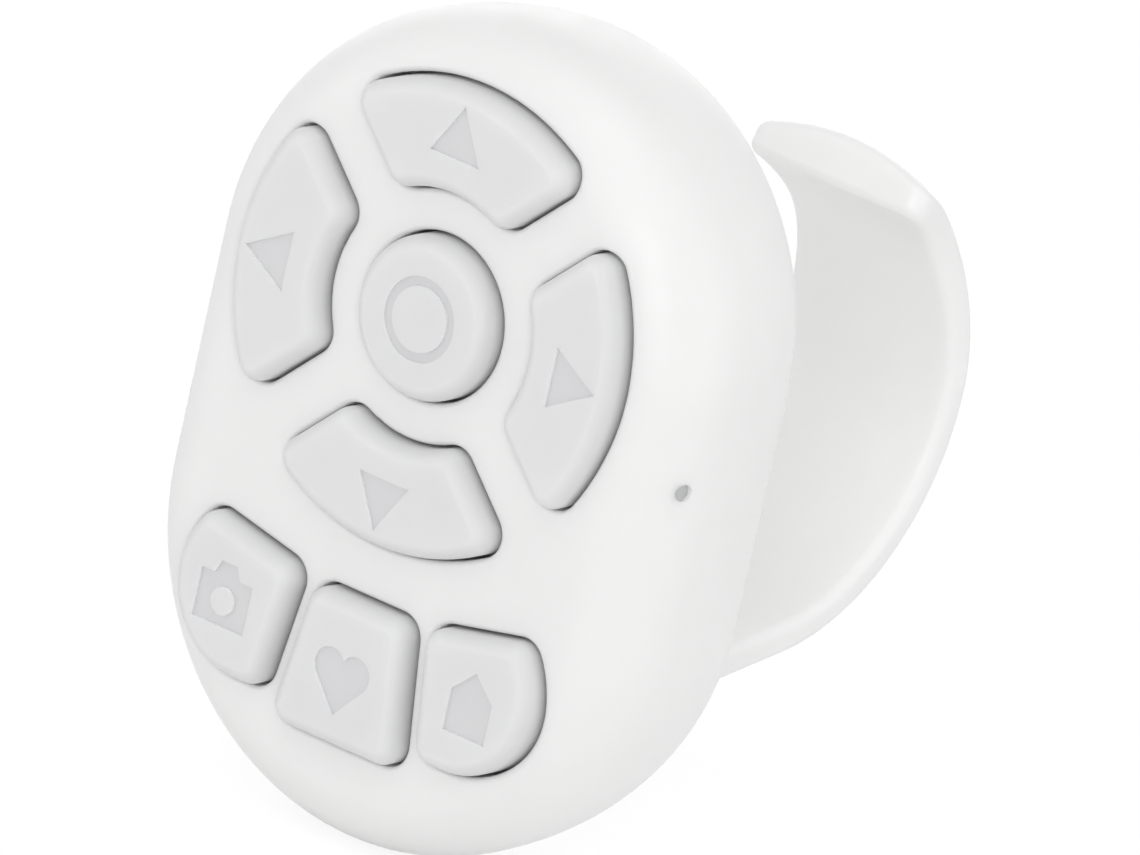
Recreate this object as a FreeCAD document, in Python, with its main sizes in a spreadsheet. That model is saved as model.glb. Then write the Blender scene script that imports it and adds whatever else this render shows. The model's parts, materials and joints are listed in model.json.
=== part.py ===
"""Bluetooth ring remote: a pebble-shaped eight-key remote on an open finger band.

Row frame: +X to the right as the face is seen, +Z up along the housing, the face looks to -Y.
The origin is the centre of the finger band's bore, whose axis is X. All sizes are millimetres.
"""
import FreeCAD, Part
import math
import os
from types import SimpleNamespace

import Sketcher
from FreeCAD import Placement, Rotation, Vector

# Driving dimensions: name, value, what it measures
DRIVING_SIZES = (
    ("body_width", 29.7, "housing, side to side"),
    ("body_height", 41.85, "housing, end to end"),
    ("body_depth", 12.3, "housing, face to back"),
    ("face_round_in", 3.6, "reach of the face's rounding, in from the flank"),
    ("face_round_deep", 4.3, "reach of the face's rounding, back along the flank"),
    ("back_round_in", 2.95, "reach of the back's rounding, in from the flank"),
    ("back_round_deep", 7.7, "reach of the back's rounding, forward along the flank"),
    ("side_wall", 2.2, "wall of the flank"),
    ("face_wall", 2.4, "wall of the face, which guides the keys"),
    ("cavity_round", 0.2, "inner corner between face and flank"),
    ("cover_thickness", 1.5, "rear cover's plate"),
    ("cover_rim", 0.75, "rear cover's rim, which shows at the back"),
    ("lip_height", 0.9, "rear cover's locating lip"),
    ("lip_thickness", 0.7, "rear cover's locating lip"),
    ("seam_gap", 0.08, "seam between the two shells, and the band in its slot"),
    ("bore_to_back", 13.6, "finger bore's axis to the housing's back"),
    ("bore_below_middle", 0.15, "finger bore's axis below the housing's middle"),
    ("pad_rise", 6.35, "centre of the round key pad above the housing's middle"),
    ("row_drop", 5.65, "reference height of the bottom row below the housing's middle"),
    ("key_rise", 1.1, "key tops above the face"),
    ("key_gap", 0.15, "key to its opening, all round"),
    ("key_travel", 0.3, "stroke of a key"),
    ("key_round", 0.85, "rounding of the key tops' edges"),
    ("key_corner", 1.25, "corner radius of a key opening"),
    ("opening_round", 0.25, "rounding of the openings' edges"),
    ("flange_reach", 0.25, "retaining flange, out from the opening"),
    ("flange_thickness", 0.6, "retaining flange"),
    ("rest_gap", 0.05, "flange to the face's inside, and pressed key to the mat"),
    ("centre_opening", 4.2, "radius of the centre key's opening"),
    ("arc_inside", 6.2, "inner radius of an arc key's opening"),
    ("arc_outside", 11.8, "outer radius of an arc key's opening"),
    ("arc_half_gap", 1.41, "half the web between two arc keys"),
    ("heart_top_half", 3.1, "half width of the middle row key's opening at its top"),
    ("heart_bottom_half", 4.13, "the same at its bottom"),
    ("row_top", 2.4, "top of the middle row key below the row's reference height"),
    ("heart_height", 7.65, "height of the middle row key's opening"),
    ("row_web", 0.72, "web between two row keys"),
    ("side_key_floor", 9.0, "bottom of the outer row keys below the row's reference height"),
    ("side_key_bulge", 4.65, "radius of the outer row keys' round side"),
    ("side_key_hub", 6.5, "centre of that round side from the housing's middle"),
    ("side_key_top", 0.2, "inner end of the outer row keys' top edge above the middle row key"),
    ("side_key_middle", 7.9, "outer row keys' domes from the housing's middle"),
    ("side_key_drop", 5.7, "outer row keys' domes below the row's reference height"),
    ("side_key_slope", 11.5, "rise of the outer row keys' top edge, degrees"),
    ("icon_depth", 0.15, "depth of the marks in the key tops"),
    ("arrow_edge", 3.05, "edge of an arrowhead"),
    ("arrow_base", 8.2, "arrowhead's base from the pad's centre"),
    ("ring_mark", 2.12, "outer radius of the centre key's ring mark"),
    ("ring_mark_width", 0.49, "width of the ring mark"),
    ("heart_mark", 3.4, "width of the heart mark"),
    ("heart_mark_drop", 0.38, "heart mark's middle below its key's"),
    ("side_mark_rise", 0.7, "house and camera marks' middles above their keys' domes"),
    ("side_mark_middle", 7.7, "house and camera marks' middles from the housing's middle"),
    ("heart_lobe", 0.92, "radius of the heart mark's two lobes"),
    ("heart_lobe_rise", 0.6, "centres of the heart mark's lobes above the mark's middle"),
    ("heart_point", 1.7, "point of the heart mark below the mark's middle"),
    ("house_mark", 2.55, "width of the house mark"),
    ("house_floor", 1.65, "foot of the house mark below the mark's middle"),
    ("house_eaves", 0.45, "eaves of the house mark above the mark's middle"),
    ("house_apex", 1.65, "top of the house mark above the mark's middle"),
    ("camera_mark", 3.2, "width of the camera mark"),
    ("camera_floor", 1.5, "foot of the camera mark below the mark's middle"),
    ("camera_top", 1.0, "top of the camera mark above the mark's middle"),
    ("camera_hump", 1.68, "top of the camera mark's hump above the mark's middle"),
    ("camera_lens", 0.7, "radius of the camera mark's lens"),
    ("camera_lens_drop", 0.25, "lens of the camera mark below the mark's middle"),
    ("mat_rise", 0.3, "mat's pads above its sheet"),
    ("mat_pad", 1.6, "radius of a pad on the mat"),
    ("mat_thickness", 0.8, "mat's sheet"),
    ("mat_inset", 0.6, "mat's edge in from the cavity's wall"),
    ("dome_radius", 2.0, "snap dome, at its foot"),
    ("dome_height", 0.45, "snap dome"),
    ("dome_clearance", 0.15, "mat to snap dome"),
    ("board_thickness", 1.0, "circuit board"),
    ("board_inset", 0.25, "board's edge in from the cavity's wall"),
    ("screw_inset", 1.5, "screw axes in from the cavity's wall"),
    ("lower_screw_drop", 4.2, "lower cover screws below the housing's middle"),
    ("screw_radius", 0.5, "screw's shaft"),
    ("screw_gap", 0.02, "screw's shaft to its pilot hole"),
    ("screw_head", 0.95, "radius of a screw's head"),
    ("screw_head_height", 0.7, "height of a screw's head"),
    ("screw_length", 4.8, "cover screw under its head"),
    ("boss_radius", 0.95, "front shell's screw boss"),
    ("head_gap", 0.1, "screw head to its counterbore"),
    ("shaft_gap", 0.15, "screw's shaft to a clearance hole"),
    ("post_wall", 0.35, "rear cover's screw post round the head"),
    ("post_floor", 0.9, "rear cover's screw post under the head"),
    ("band_bore", 10.9, "radius of the finger band's bore"),
    ("band_width", 10.6, "finger band along the finger"),
    ("band_edge", 1.5, "finger band's thickness at its edges"),
    ("band_crown", 1.05, "how much thicker the band is along its middle"),
    ("band_tip", 66.0, "free end above the bore's rearward direction, degrees"),
    ("band_lean", 9.3, "slope of the band's leg, degrees"),
    ("band_round", 0.55, "rounding of the band's edges"),
    ("band_corner", 0.9, "corner radius of the free end"),
    ("neck_depth", 0.45, "how much narrower the band is at its neck, on each side"),
    ("neck_angle", 42.0, "neck above the bore's rearward direction, degrees"),
    ("neck_fore", 3.2, "run of the neck towards the free end"),
    ("neck_aft", 10.0, "run of the neck towards the housing"),
    ("root_round", 2.0, "fillet where the leg meets the back"),
    ("foot_height", 6.0, "band's foot, up along the inside of the cover"),
    ("foot_thickness", 0.9, "band's foot"),
    ("foot_screw_drop", 2.4, "foot's screws below its top"),
    ("foot_screw_half", 3.2, "half the distance between the foot's screws"),
    ("foot_screw_length", 1.9, "foot screw under its head"),
    ("indicator_radius", 0.42, "light pipe's rod"),
    ("indicator_height", 2.27, "light pipe above the housing's middle"),
    ("indicator_depth", 2.7, "light pipe's axis behind the face"),
    ("socket_width", 8.94, "charging socket's shell"),
    ("socket_height", 3.16, "charging socket's shell"),
    ("socket_length", 7.35, "charging socket's shell"),
    ("socket_wall", 0.3, "charging socket's sheet metal"),
    ("socket_setback", 0.7, "charging socket's mouth inside the housing's end"),
    ("socket_gap", 0.15, "charging socket to its opening"),
    ("tongue_width", 6.69, "charging socket's tongue"),
    ("tongue_thickness", 0.7, "charging socket's tongue"),
    ("tongue_length", 4.45, "charging socket's tongue"),
    ("switch_height", 1.5, "slide switch above the board"),
    ("switch_length", 6.7, "slide switch along the flank"),
    ("switch_width", 2.6, "slide switch, in from its front"),
    ("switch_up", 2.0, "slide switch's middle above the housing's middle"),
    ("slide_travel", 2.0, "stroke of the slide switch"),
    ("knob_length", 2.2, "slide knob along the flank"),
    ("knob_height", 1.3, "slide knob across the flank"),
    ("knob_setback", 0.25, "slide knob's face inside the flank"),
    ("knob_gap", 0.12, "slide knob to its slot"),
    ("battery_width", 12.8, "cell, side to side"),
    ("battery_height", 21.5, "cell, end to end"),
    ("battery_thickness", 3.4, "cell"),
    ("battery_round", 0.6, "cell's edges"),
    ("tape_thickness", 0.3, "foam tape between cell and cover"),
    ("lead_radius", 0.35, "cell's leads"),
    ("lead_bend", 0.65, "bend radius of the cell's leads"),
    ("grip_pitch", 0.55, "grooves across the slide knob"),
    ("grip_depth", 0.12, "depth and half width of a groove, and the knob's rounding"),
    ("lever_reach", 1.3, "slide switch's lever, into the switch"),
    ("lever_half", 0.4, "half the slide switch's lever, which is square"),
    ("lamp_length", 1.2, "indicator lamp, along Z"),
    ("lamp_width", 0.5, "indicator lamp, along X"),
    ("lamp_height", 0.6, "indicator lamp above the board"),
    ("pipe_reach", 3.15, "light pipe's rod, in from the flank"),
    ("pipe_setback", 0.4, "light pipe's end inside the flank"),
    ("radio_side", 4.0, "radio chip's side"),
    ("chip_height", 0.8, "chips above the board"),
    ("chip_low", 0.55, "crystal and antenna above the board"),
    ("antenna_length", 5.2, "antenna, along X"),
    ("passive_length", 1.0, "a small component's length"),
    ("passive_width", 0.5, "a small component's width and height"),
    ("part_gap", 0.3, "gap between parts that lie side by side"),
)

doc = FreeCAD.newDocument("RingRemote")
sheet = doc.addObject("Spreadsheet::Sheet", "Sizes")
for row, (name, value, meaning) in enumerate(DRIVING_SIZES, start=1):
    sheet.set(f"A{row}", name)
    sheet.set(f"B{row}", str(value))
    sheet.set(f"C{row}", meaning)
    sheet.setAlias(f"B{row}", name)
doc.recompute()


class Size:
    """A size with both its number and the expression that gives it from the sheet."""

    def __init__(self, number, text):
        self.number = float(number)
        self.text = text

    def __float__(self):
        return self.number

    def __neg__(self):
        return Size(-self.number, f"(-1 * {self.text})")

    def __add__(self, other):
        other = as_size(other)
        return Size(self.number + other.number, f"({self.text} + {other.text})")

    def __sub__(self, other):
        other = as_size(other)
        return Size(self.number - other.number, f"({self.text} - {other.text})")

    def __mul__(self, other):
        other = as_size(other)
        return Size(self.number * other.number, f"({self.text} * {other.text})")

    def __truediv__(self, other):
        other = as_size(other)
        return Size(self.number / other.number, f"({self.text} / {other.text})")

    def __radd__(self, other):
        return as_size(other) + self

    def __rsub__(self, other):
        return as_size(other) - self

    def __rmul__(self, other):
        return as_size(other) * self


def as_size(value):
    """A plain number as a Size."""
    return value if isinstance(value, Size) else Size(value, f"({float(value)})")


size = SimpleNamespace(**{name: Size(value, f"Sizes.{name}") for name, value, _ in DRIVING_SIZES})

# Places along Y, from the key tops to the back
back = -size.bore_to_back
face = back - size.body_depth
key_top = face - size.key_rise
ceiling = face + size.face_wall
flange_front = ceiling + size.rest_gap
flange_back = flange_front + size.flange_thickness
mat_pad_front = flange_back + size.key_travel + size.rest_gap
mat_front = mat_pad_front + size.mat_rise
board_front = mat_front + size.mat_thickness
board_back = board_front + size.board_thickness
cover_inside = back - size.cover_thickness
seam = back - size.cover_rim
tape_front = cover_inside - size.tape_thickness
battery_front = tape_front - size.battery_thickness
screw_seat = board_back + size.post_floor
foot_seat = cover_inside - size.foot_thickness
rear_hub = back - size.back_round_deep

# Places along X and Z
middle = size.bore_below_middle
half_width = size.body_width / 2
straight = size.body_height - size.body_width
top_z = middle + straight / 2
low_z = middle - straight / 2
pad_z = middle + size.pad_rise
row_z = middle - size.row_drop
row_top_z = row_z - size.row_top
row_floor_z = row_top_z - size.heart_height
side_key_z = row_z - size.side_key_drop
side_mark_z = side_key_z + size.side_mark_rise
bottom_z = middle - size.body_height / 2
cavity_half = half_width - size.side_wall
board_half = cavity_half - size.board_inset
screw_reach = cavity_half - size.screw_inset
post_radius = size.screw_head + size.head_gap + size.post_wall
lower_screw_z = middle - size.lower_screw_drop
diagonal = math.sqrt(0.5)
socket_mouth = bottom_z + size.socket_setback
socket_y = board_back + size.socket_height / 2
switch_z = middle + size.switch_up
switch_outside = -cavity_half + size.knob_gap
knob_y = board_back + size.switch_height / 2
indicator_y = face + size.indicator_depth
indicator_z = middle + size.indicator_height
pipe_inside = half_width - size.pipe_reach
pipe_outside = half_width - size.pipe_setback

# The band's leg slopes down from the arc to the housing, and its two faces are straight lines in Y and Z
lean = math.radians(float(size.band_lean))
leg_start = 90 - size.band_lean


def leg_inside_at(y):
    """Height of the leg's inner face at y."""
    return -size.band_bore / math.cos(lean) + as_size(y) * math.tan(lean)


def leg_outside_at(y):
    """Height of the leg's outer face at y, along the crown."""
    return -(size.band_bore + size.band_edge + size.band_crown) / math.cos(lean) + as_size(y) * math.tan(lean)


leg_inside_z = leg_inside_at(back)
foot_top = leg_inside_z + size.foot_height
battery_low = foot_top + size.part_gap
battery_high = battery_low + size.battery_height


# Places closer than this are the same, and so are angles in degrees closer than the second
SAME = 1e-4
SAME_ANGLE = 0.1
# A cut that goes right through reaches this many times the thickness
THROUGH = 2
# Height of a triangle with equal sides, as a share of a side
TRIANGLE_HEIGHT = math.sqrt(0.75)
# A direction from the centre of a heart mark's lobe that crosses its arc
LOBE_CROWN = Vector(1, 2, 0)
# Each lead's distance from the middle, in lead radii
LEAD_SPREAD = 3
# The band's side edges lie within this many neck depths of its full width
NECK_MARGIN = 1.5


def point(x, y):
    """A point of a sketch."""
    return Vector(float(x), float(y), 0)


def bind(feature, path, amount):
    """Ties a property or constraint to the sheet."""
    feature.setExpression(path, as_size(amount).text)


def new_body(name):
    body = doc.addObject("PartDesign::Body", name)
    body.Label = name
    return body


def sketch_on(body, name, role, offset):
    """A sketch on one of its body's origin planes, moved along the plane's normal."""
    plane = next(item for item in body.Origin.OriginFeatures if item.Role == role)
    sketch = body.newObject("Sketcher::SketchObject", name)
    sketch.AttachmentSupport = (plane, "")
    sketch.MapMode = "FlatFace"
    bind(sketch, "AttachmentOffset.Base.z", offset)
    return sketch


def face_sketch(body, name, y):
    """A sketch in an XZ plane at y, drawn in X and Z, whose pads grow towards the face."""
    return sketch_on(body, name, "XZ_Plane", -as_size(y))


def level_sketch(body, name, z):
    """A sketch in an XY plane at z, drawn in X and Y, whose pads grow upwards."""
    return sketch_on(body, name, "XY_Plane", z)


def flank_sketch(body, name, x):
    """A sketch in a YZ plane at x, drawn in Y and Z, whose pads grow to the right."""
    return sketch_on(body, name, "YZ_Plane", x)


def add_feature(body, kind, name, sketch):
    feature = body.newObject(f"PartDesign::{kind}", name)
    feature.Profile = sketch
    return feature


def pad(body, name, sketch, length, away=False, both_ways=False):
    """Grows the sketch along its normal, against it, or half each way."""
    feature = add_feature(body, "Pad", name, sketch)
    feature.Reversed = away
    feature.SideType = "Symmetric" if both_ways else "One side"
    bind(feature, "Length", length)
    return feature


def pocket(body, name, sketch, length, along=False, both_ways=False):
    """Cuts the sketch against its normal, along it, or half each way, and checks that it cut."""
    doc.recompute()
    before = body.Shape.Volume
    feature = add_feature(body, "Pocket", name, sketch)
    feature.Reversed = along
    feature.SideType = "Symmetric" if both_ways else "One side"
    bind(feature, "Length", length)
    doc.recompute()
    if not body.Shape.Volume < before:
        raise ValueError(f"{name} cuts nothing")
    return feature


def turn(body, kind, name, sketch, axis, degrees, against=False):
    """Revolves the sketch about one of its own axes, as a Revolution or a Groove."""
    feature = add_feature(body, kind, name, sketch)
    feature.ReferenceAxis = (sketch, [axis])
    feature.Angle = degrees
    feature.Reversed = against
    return feature


def edges_of(shape, test):
    """Names of the edges that pass a test."""
    return [f"Edge{number}" for number, edge in enumerate(shape.Edges, start=1) if test(edge)]


def fillet(body, name, radius, test):
    """Rounds the edges of the body's last feature that pass a test."""
    doc.recompute()
    base = body.Tip
    feature = body.newObject("PartDesign::Fillet", name)
    feature.Base = (base, edges_of(base.Shape, test))
    bind(feature, "Radius", radius)
    doc.recompute()
    return feature


def place(sketch, geometry, position, x, y):
    """Dimensions one point of a sketch from its origin."""
    for kind, amount in (("DistanceX", x), ("DistanceY", y)):
        index = sketch.addConstraint(Sketcher.Constraint(kind, geometry, position, float(amount)))
        bind(sketch, f"Constraints[{index}]", amount)


def draw_circle(sketch, x, y, radius):
    circle = sketch.addGeometry(Part.Circle(point(x, y), Vector(0, 0, 1), float(radius)))
    index = sketch.addConstraint(Sketcher.Constraint("Radius", circle, float(radius)))
    bind(sketch, f"Constraints[{index}]", radius)
    place(sketch, circle, 3, x, y)


def draw_circles(sketch, places, radius):
    """Equal circles about (x, second axis) places."""
    for x, y in places:
        draw_circle(sketch, x, y, radius)


def draw_box(sketch, low_x, high_x, low_y, high_y):
    corners = [point(low_x, low_y), point(high_x, low_y), point(high_x, high_y), point(low_x, high_y)]
    lines = [sketch.addGeometry(Part.LineSegment(corners[i], corners[(i + 1) % 4])) for i in range(4)]
    for i in range(4):
        sketch.addConstraint(Sketcher.Constraint("Coincident", lines[i], 2, lines[(i + 1) % 4], 1))
        sketch.addConstraint(Sketcher.Constraint("Horizontal" if i % 2 == 0 else "Vertical", lines[i]))
    place(sketch, lines[0], 1, low_x, low_y)
    place(sketch, lines[2], 1, high_x, high_y)


def draw_centred_box(sketch, x, y, half_x, half_y):
    """An upright rectangle about a place."""
    draw_box(sketch, x - half_x, x + half_x, y - half_y, y + half_y)


def draw_curves(sketch, curves):
    """Adds curves that meet end to end."""
    sketch.addGeometry(curves)


def draw_polygon(sketch, corners):
    ends = corners[1:] + corners[:1]
    draw_curves(sketch, [Part.LineSegment(start, end) for start, end in zip(corners, ends)])


def draw_slot(sketch, x, y, half_long, half_high):
    """A flat-sided hole along the sketch's first axis, with round ends."""
    x, y, reach, radius = float(x), float(y), float(half_long) - float(half_high), float(half_high)
    draw_curves(sketch, [
        Part.LineSegment(point(x - reach, y - radius), point(x + reach, y - radius)),
        Part.Arc(point(x + reach, y - radius), point(x + reach + radius, y), point(x + reach, y + radius)),
        Part.LineSegment(point(x + reach, y + radius), point(x - reach, y + radius)),
        Part.Arc(point(x - reach, y + radius), point(x - reach - radius, y), point(x - reach, y - radius)),
    ])


def draw_stadium(sketch, half, centre_high, centre_low):
    """An upright stadium in X and Z, round about two centres on X = 0."""
    half, high, low = float(half), float(centre_high), float(centre_low)
    draw_curves(sketch, [
        Part.LineSegment(point(half, low), point(half, high)),
        Part.Arc(point(half, high), point(0, high + half), point(-half, high)),
        Part.LineSegment(point(-half, high), point(-half, low)),
        Part.Arc(point(-half, low), point(0, low - half), point(half, low)),
    ])


class Flat:
    """A straight side of an outline: through a point, with its outward direction."""

    def __init__(self, through, outward):
        self.outward = outward.normalize()
        self.level = through.dot(self.outward)

    def moved(self, distance):
        copy = Flat(self.outward * self.level, Vector(self.outward))
        copy.level += distance
        return copy

    def foot(self, spot):
        return spot + self.outward * (self.level - spot.dot(self.outward))

    def curve(self, start, end):
        return Part.LineSegment(start, end)


class Round:
    """A side of an outline on a circle; side is 1 where the outline lies inside the circle, -1 outside."""

    def __init__(self, centre, radius, side):
        self.centre = centre
        self.radius = radius
        self.side = side

    def moved(self, distance):
        return Round(self.centre, self.radius + self.side * distance, self.side)

    def foot(self, spot):
        return self.centre + (spot - self.centre).normalize() * self.radius

    def curve(self, start, end):
        return Part.Arc(start, self.foot((start + end) * 0.5), end)


def meeting(first, second, near):
    """Where two straight sides cross, or a straight and a round one, near a hint."""
    if isinstance(first, Flat) and isinstance(second, Flat):
        a, b = first.outward, second.outward
        determinant = a.x * b.y - a.y * b.x
        x = (first.level * b.y - second.level * a.y) / determinant
        y = (a.x * second.level - b.x * first.level) / determinant
        return Vector(x, y, 0)
    flat, circle = (first, second) if isinstance(first, Flat) else (second, first)
    middle_foot = flat.foot(circle.centre)
    half_chord_squared = circle.radius ** 2 - (middle_foot - circle.centre).Length ** 2
    half_chord = 0 if abs(half_chord_squared) < SAME ** 2 else math.sqrt(half_chord_squared)
    along = Vector(-flat.outward.y, flat.outward.x, 0) * half_chord
    return min((middle_foot + along, middle_foot - along), key=lambda spot: (spot - near).Length)


class Outline:
    """A closed outline of flat and round sides whose corners are rounded, and which can be grown."""

    def __init__(self, sides, corner_hints, corner_radius):
        self.sides = sides
        self.hints = corner_hints
        self.radius = float(corner_radius)

    def grown(self, distance):
        """The same outline moved outwards all round, its corner radii with it."""
        distance = float(distance)
        return Outline([side.moved(distance) for side in self.sides], self.hints, self.radius + distance)

    def curves(self):
        """The sides and corners as sketch curves; sides that touch run into each other with no corner."""
        count = len(self.sides)
        following = self.sides[1:] + self.sides[:1]
        centres = [
            meeting(side.moved(-self.radius), after.moved(-self.radius), hint)
            for side, after, hint in zip(self.sides, following, self.hints)
        ]
        curves = []
        for i in range(count):
            side, after = self.sides[i], following[i]
            start, end = side.foot(centres[i - 1]), side.foot(centres[i])
            curves.append(side.curve(start, end))
            turned = after.foot(centres[i])
            if (turned - end).Length > SAME:
                bulge = centres[i] + ((end + turned) * 0.5 - centres[i]).normalize() * self.radius
                curves.append(Part.Arc(end, bulge, turned))
        return curves


def arc_key_outline(direction):
    """Opening of an arc key about the pad's centre, round a direction given in X and Z."""
    across = Vector(-direction.y, direction.x, 0)
    centre = point(0, pad_z)
    left_ray, right_ray = (direction + across) * diagonal, (direction - across) * diagonal
    left_side = Flat(centre + (right_ray * float(size.arc_half_gap)), -right_ray)
    right_side = Flat(centre + (left_ray * float(size.arc_half_gap)), -left_ray)
    inside, outside = float(size.arc_inside), float(size.arc_outside)
    sides = [Round(centre, outside, 1), left_side, Round(centre, inside, -1), right_side]
    hints = [centre + left_ray * outside, centre + left_ray * inside,
             centre + right_ray * inside, centre + right_ray * outside]
    return Outline(sides, hints, size.key_corner)


def heart_key_outline():
    """Opening of the middle row key, wider at its bottom."""
    top, bottom = float(row_top_z), float(row_floor_z)
    top_half, bottom_half = float(size.heart_top_half), float(size.heart_bottom_half)
    lean = bottom_half - top_half
    corners = [
        point(-top_half, top), point(-bottom_half, bottom),
        point(bottom_half, bottom), point(top_half, top),
    ]
    sides = [
        Flat(corners[0], Vector(0, 1, 0)),
        Flat(corners[0], Vector(bottom - top, lean, 0)),
        Flat(corners[1], Vector(0, -1, 0)),
        Flat(corners[3], Vector(top - bottom, lean, 0)),
    ]
    return Outline(sides, corners, size.key_corner)


def side_key_outline(side):
    """Opening of an outer row key, whose round side runs into its floor: side is -1 left, 1 right."""
    top, floor = float(row_top_z), float(row_z - size.side_key_floor)
    lean = float(size.heart_bottom_half - size.heart_top_half)
    inward = Vector(-side * float(size.heart_height), -lean, 0).normalize()
    heart_corner = point(side * float(size.heart_top_half), top)
    inner_side = Flat(heart_corner - inward * float(size.row_web), Vector(inward))
    slope = math.radians(float(size.side_key_slope))
    inner_top_level = Flat(point(0, top + float(size.side_key_top)), Vector(0, 1, 0))
    inner_top = meeting(inner_side, inner_top_level, heart_corner)
    top_side = Flat(inner_top, Vector(-side * math.sin(slope), math.cos(slope), 0))
    floor_side = Flat(point(0, floor), Vector(0, -1, 0))
    hub = point(side * size.side_key_hub, floor + float(size.side_key_bulge))
    outer_side = Round(hub, float(size.side_key_bulge), 1)
    outermost = hub + Vector(side * float(size.side_key_bulge), 0, 0)
    hints = [point(outermost.x, top), outermost, meeting(floor_side, inner_side, heart_corner), inner_top]
    return Outline([top_side, outer_side, floor_side, inner_side], hints, size.key_corner)


KEY_OUTLINES = {
    "key_up": arc_key_outline(Vector(0, 1, 0)),
    "key_right": arc_key_outline(Vector(1, 0, 0)),
    "key_down": arc_key_outline(Vector(0, -1, 0)),
    "key_left": arc_key_outline(Vector(-1, 0, 0)),
    "key_camera": side_key_outline(-1),
    "key_heart": heart_key_outline(),
    "key_home": side_key_outline(1),
}
arc_key_middle = (size.arc_inside + size.arc_outside) / 2
KEY_CENTRES = {
    "key_centre": (as_size(0), pad_z),
    "key_up": (as_size(0), pad_z + arc_key_middle),
    "key_right": (arc_key_middle, pad_z),
    "key_down": (as_size(0), pad_z - arc_key_middle),
    "key_left": (-arc_key_middle, pad_z),
    "key_camera": (-size.side_key_middle, side_key_z),
    "key_heart": (as_size(0), (row_top_z + row_floor_z) / 2),
    "key_home": (size.side_key_middle, side_key_z),
}
SCREW_PLACES = [
    (side * screw_reach * diagonal, top_z + screw_reach * diagonal) for side in (-1, 1)
] + [(side * screw_reach, lower_screw_z) for side in (-1, 1)]
FOOT_SCREW_PLACES = [(side * size.foot_screw_half, foot_top - size.foot_screw_drop) for side in (-1, 1)]
antenna_x = screw_reach * diagonal - post_radius - size.part_gap - size.antenna_length / 2
# How far outside the band's side the neck's curve starts
NECK_OVERLAP = 0.05
# Half widths of the camera mark's hump, as shares of half the mark's width
CAMERA_HUMP_TOP = 0.3
CAMERA_HUMP_FOOT = 0.5
# Chips on the board's back: name, x, z from the housing's middle, width, height and rise
CHIPS = (
    ("radio_chip", 0, 3, size.radio_side, size.radio_side, size.chip_height),
    ("crystal", 5, 4, 2.4, 2.0, size.chip_low),
    ("charging_chip", -5.5, -9, 2.8, 1.6, size.chip_height),
    ("chip_antenna", antenna_x, 14.4, size.antenna_length, 1.6, size.chip_low),
)
# Small components on the board's back: x, and z from the housing's middle
PASSIVE_PLACES = [(-4, 5), (-4, 2.5), (-4, 0), (4, -1), (2, -1), (-6, -6.5), (5, -8), (5, -6.5)]


def ellipse_arc(hub, half_x, half_y, first, last):
    """An arc of an upright ellipse between two angles, which are those of the circle it is stretched from."""
    if half_x == half_y:
        return Part.ArcOfCircle(Part.Circle(hub, Vector(0, 0, 1), half_x), first, last)
    if half_x > half_y:
        ellipse = Part.Ellipse(hub + Vector(half_x, 0, 0), hub + Vector(0, half_y, 0), hub)
        return Part.ArcOfEllipse(ellipse, first, last)
    ellipse = Part.Ellipse(hub + Vector(0, half_y, 0), hub - Vector(half_x, 0, 0), hub)
    return Part.ArcOfEllipse(ellipse, first - math.pi / 2, last - math.pi / 2)


def side_rounding(side, hub, reach, depth, first, last):
    """A rounding on one side of a section: angles run from the flank, negative to the face."""
    if side < 0:
        first, last = math.pi - last, math.pi - first
    return ellipse_arc(hub, float(reach), float(depth), first, last)


def front_curves(side, half, front, reach, depth):
    """A section's front on one side: flat from the middle, then a quarter ellipse that ends on the flank."""
    flat_end = side * (half - reach)
    return [
        Part.LineSegment(point(0, front), point(flat_end, front)),
        side_rounding(side, point(flat_end, front + depth), reach, depth, -math.pi / 2, 0),
    ]


def outside_at(y):
    """Half width of the housing at y, and the angle round its rear rounding, 0 on the flank."""
    past_hub = float(as_size(y) - rear_hub)
    angle = math.asin(max(past_hub, 0) / float(size.back_round_deep))
    return float(half_width) - float(size.back_round_in) * (1 - math.cos(angle)), angle


def rear_rounding(side, first, last):
    """The housing's rear rounding between two angles."""
    hub = point(side * (half_width - size.back_round_in), rear_hub)
    return side_rounding(side, hub, size.back_round_in, size.back_round_deep, first, last)


def pebble(body, name, section, cut=False):
    """Runs a section along the housing's straight middle and turns it round both ends."""
    middle_sketch = level_sketch(body, f"{name}_section", middle)
    draw_curves(middle_sketch, section(1) + section(-1))
    if cut:
        pocket(body, f"{name}_middle", middle_sketch, straight, both_ways=True)
    else:
        pad(body, f"{name}_middle", middle_sketch, straight, both_ways=True)
    for end, centre_z in (("top", top_z), ("bottom", low_z)):
        half_sketch = level_sketch(body, f"{name}_{end}_section", centre_z)
        half_curves = section(1)
        axis_line = Part.LineSegment(half_curves[-1].EndPoint, half_curves[0].StartPoint)
        draw_curves(half_sketch, half_curves + [axis_line])
        kind = "Groove" if cut else "Revolution"
        turn(body, kind, f"{name}_{end}", half_sketch, "V_Axis", 180, against=(end == "top"))
    doc.recompute()


def casing_section(side):
    """Half of the front shell's outer section: the face, the flank and the rounding as far as the seam."""
    rim_y = seam - size.seam_gap
    rim_half, rim_angle = outside_at(rim_y)
    flank_start = point(side * half_width, face + size.face_round_deep)
    flank_end = point(side * half_width, rear_hub)
    return front_curves(side, half_width, face, size.face_round_in, size.face_round_deep) + [
        Part.LineSegment(flank_start, flank_end),
        rear_rounding(side, 0, rim_angle),
        Part.LineSegment(point(side * rim_half, rim_y), point(0, rim_y)),
    ]


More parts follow.
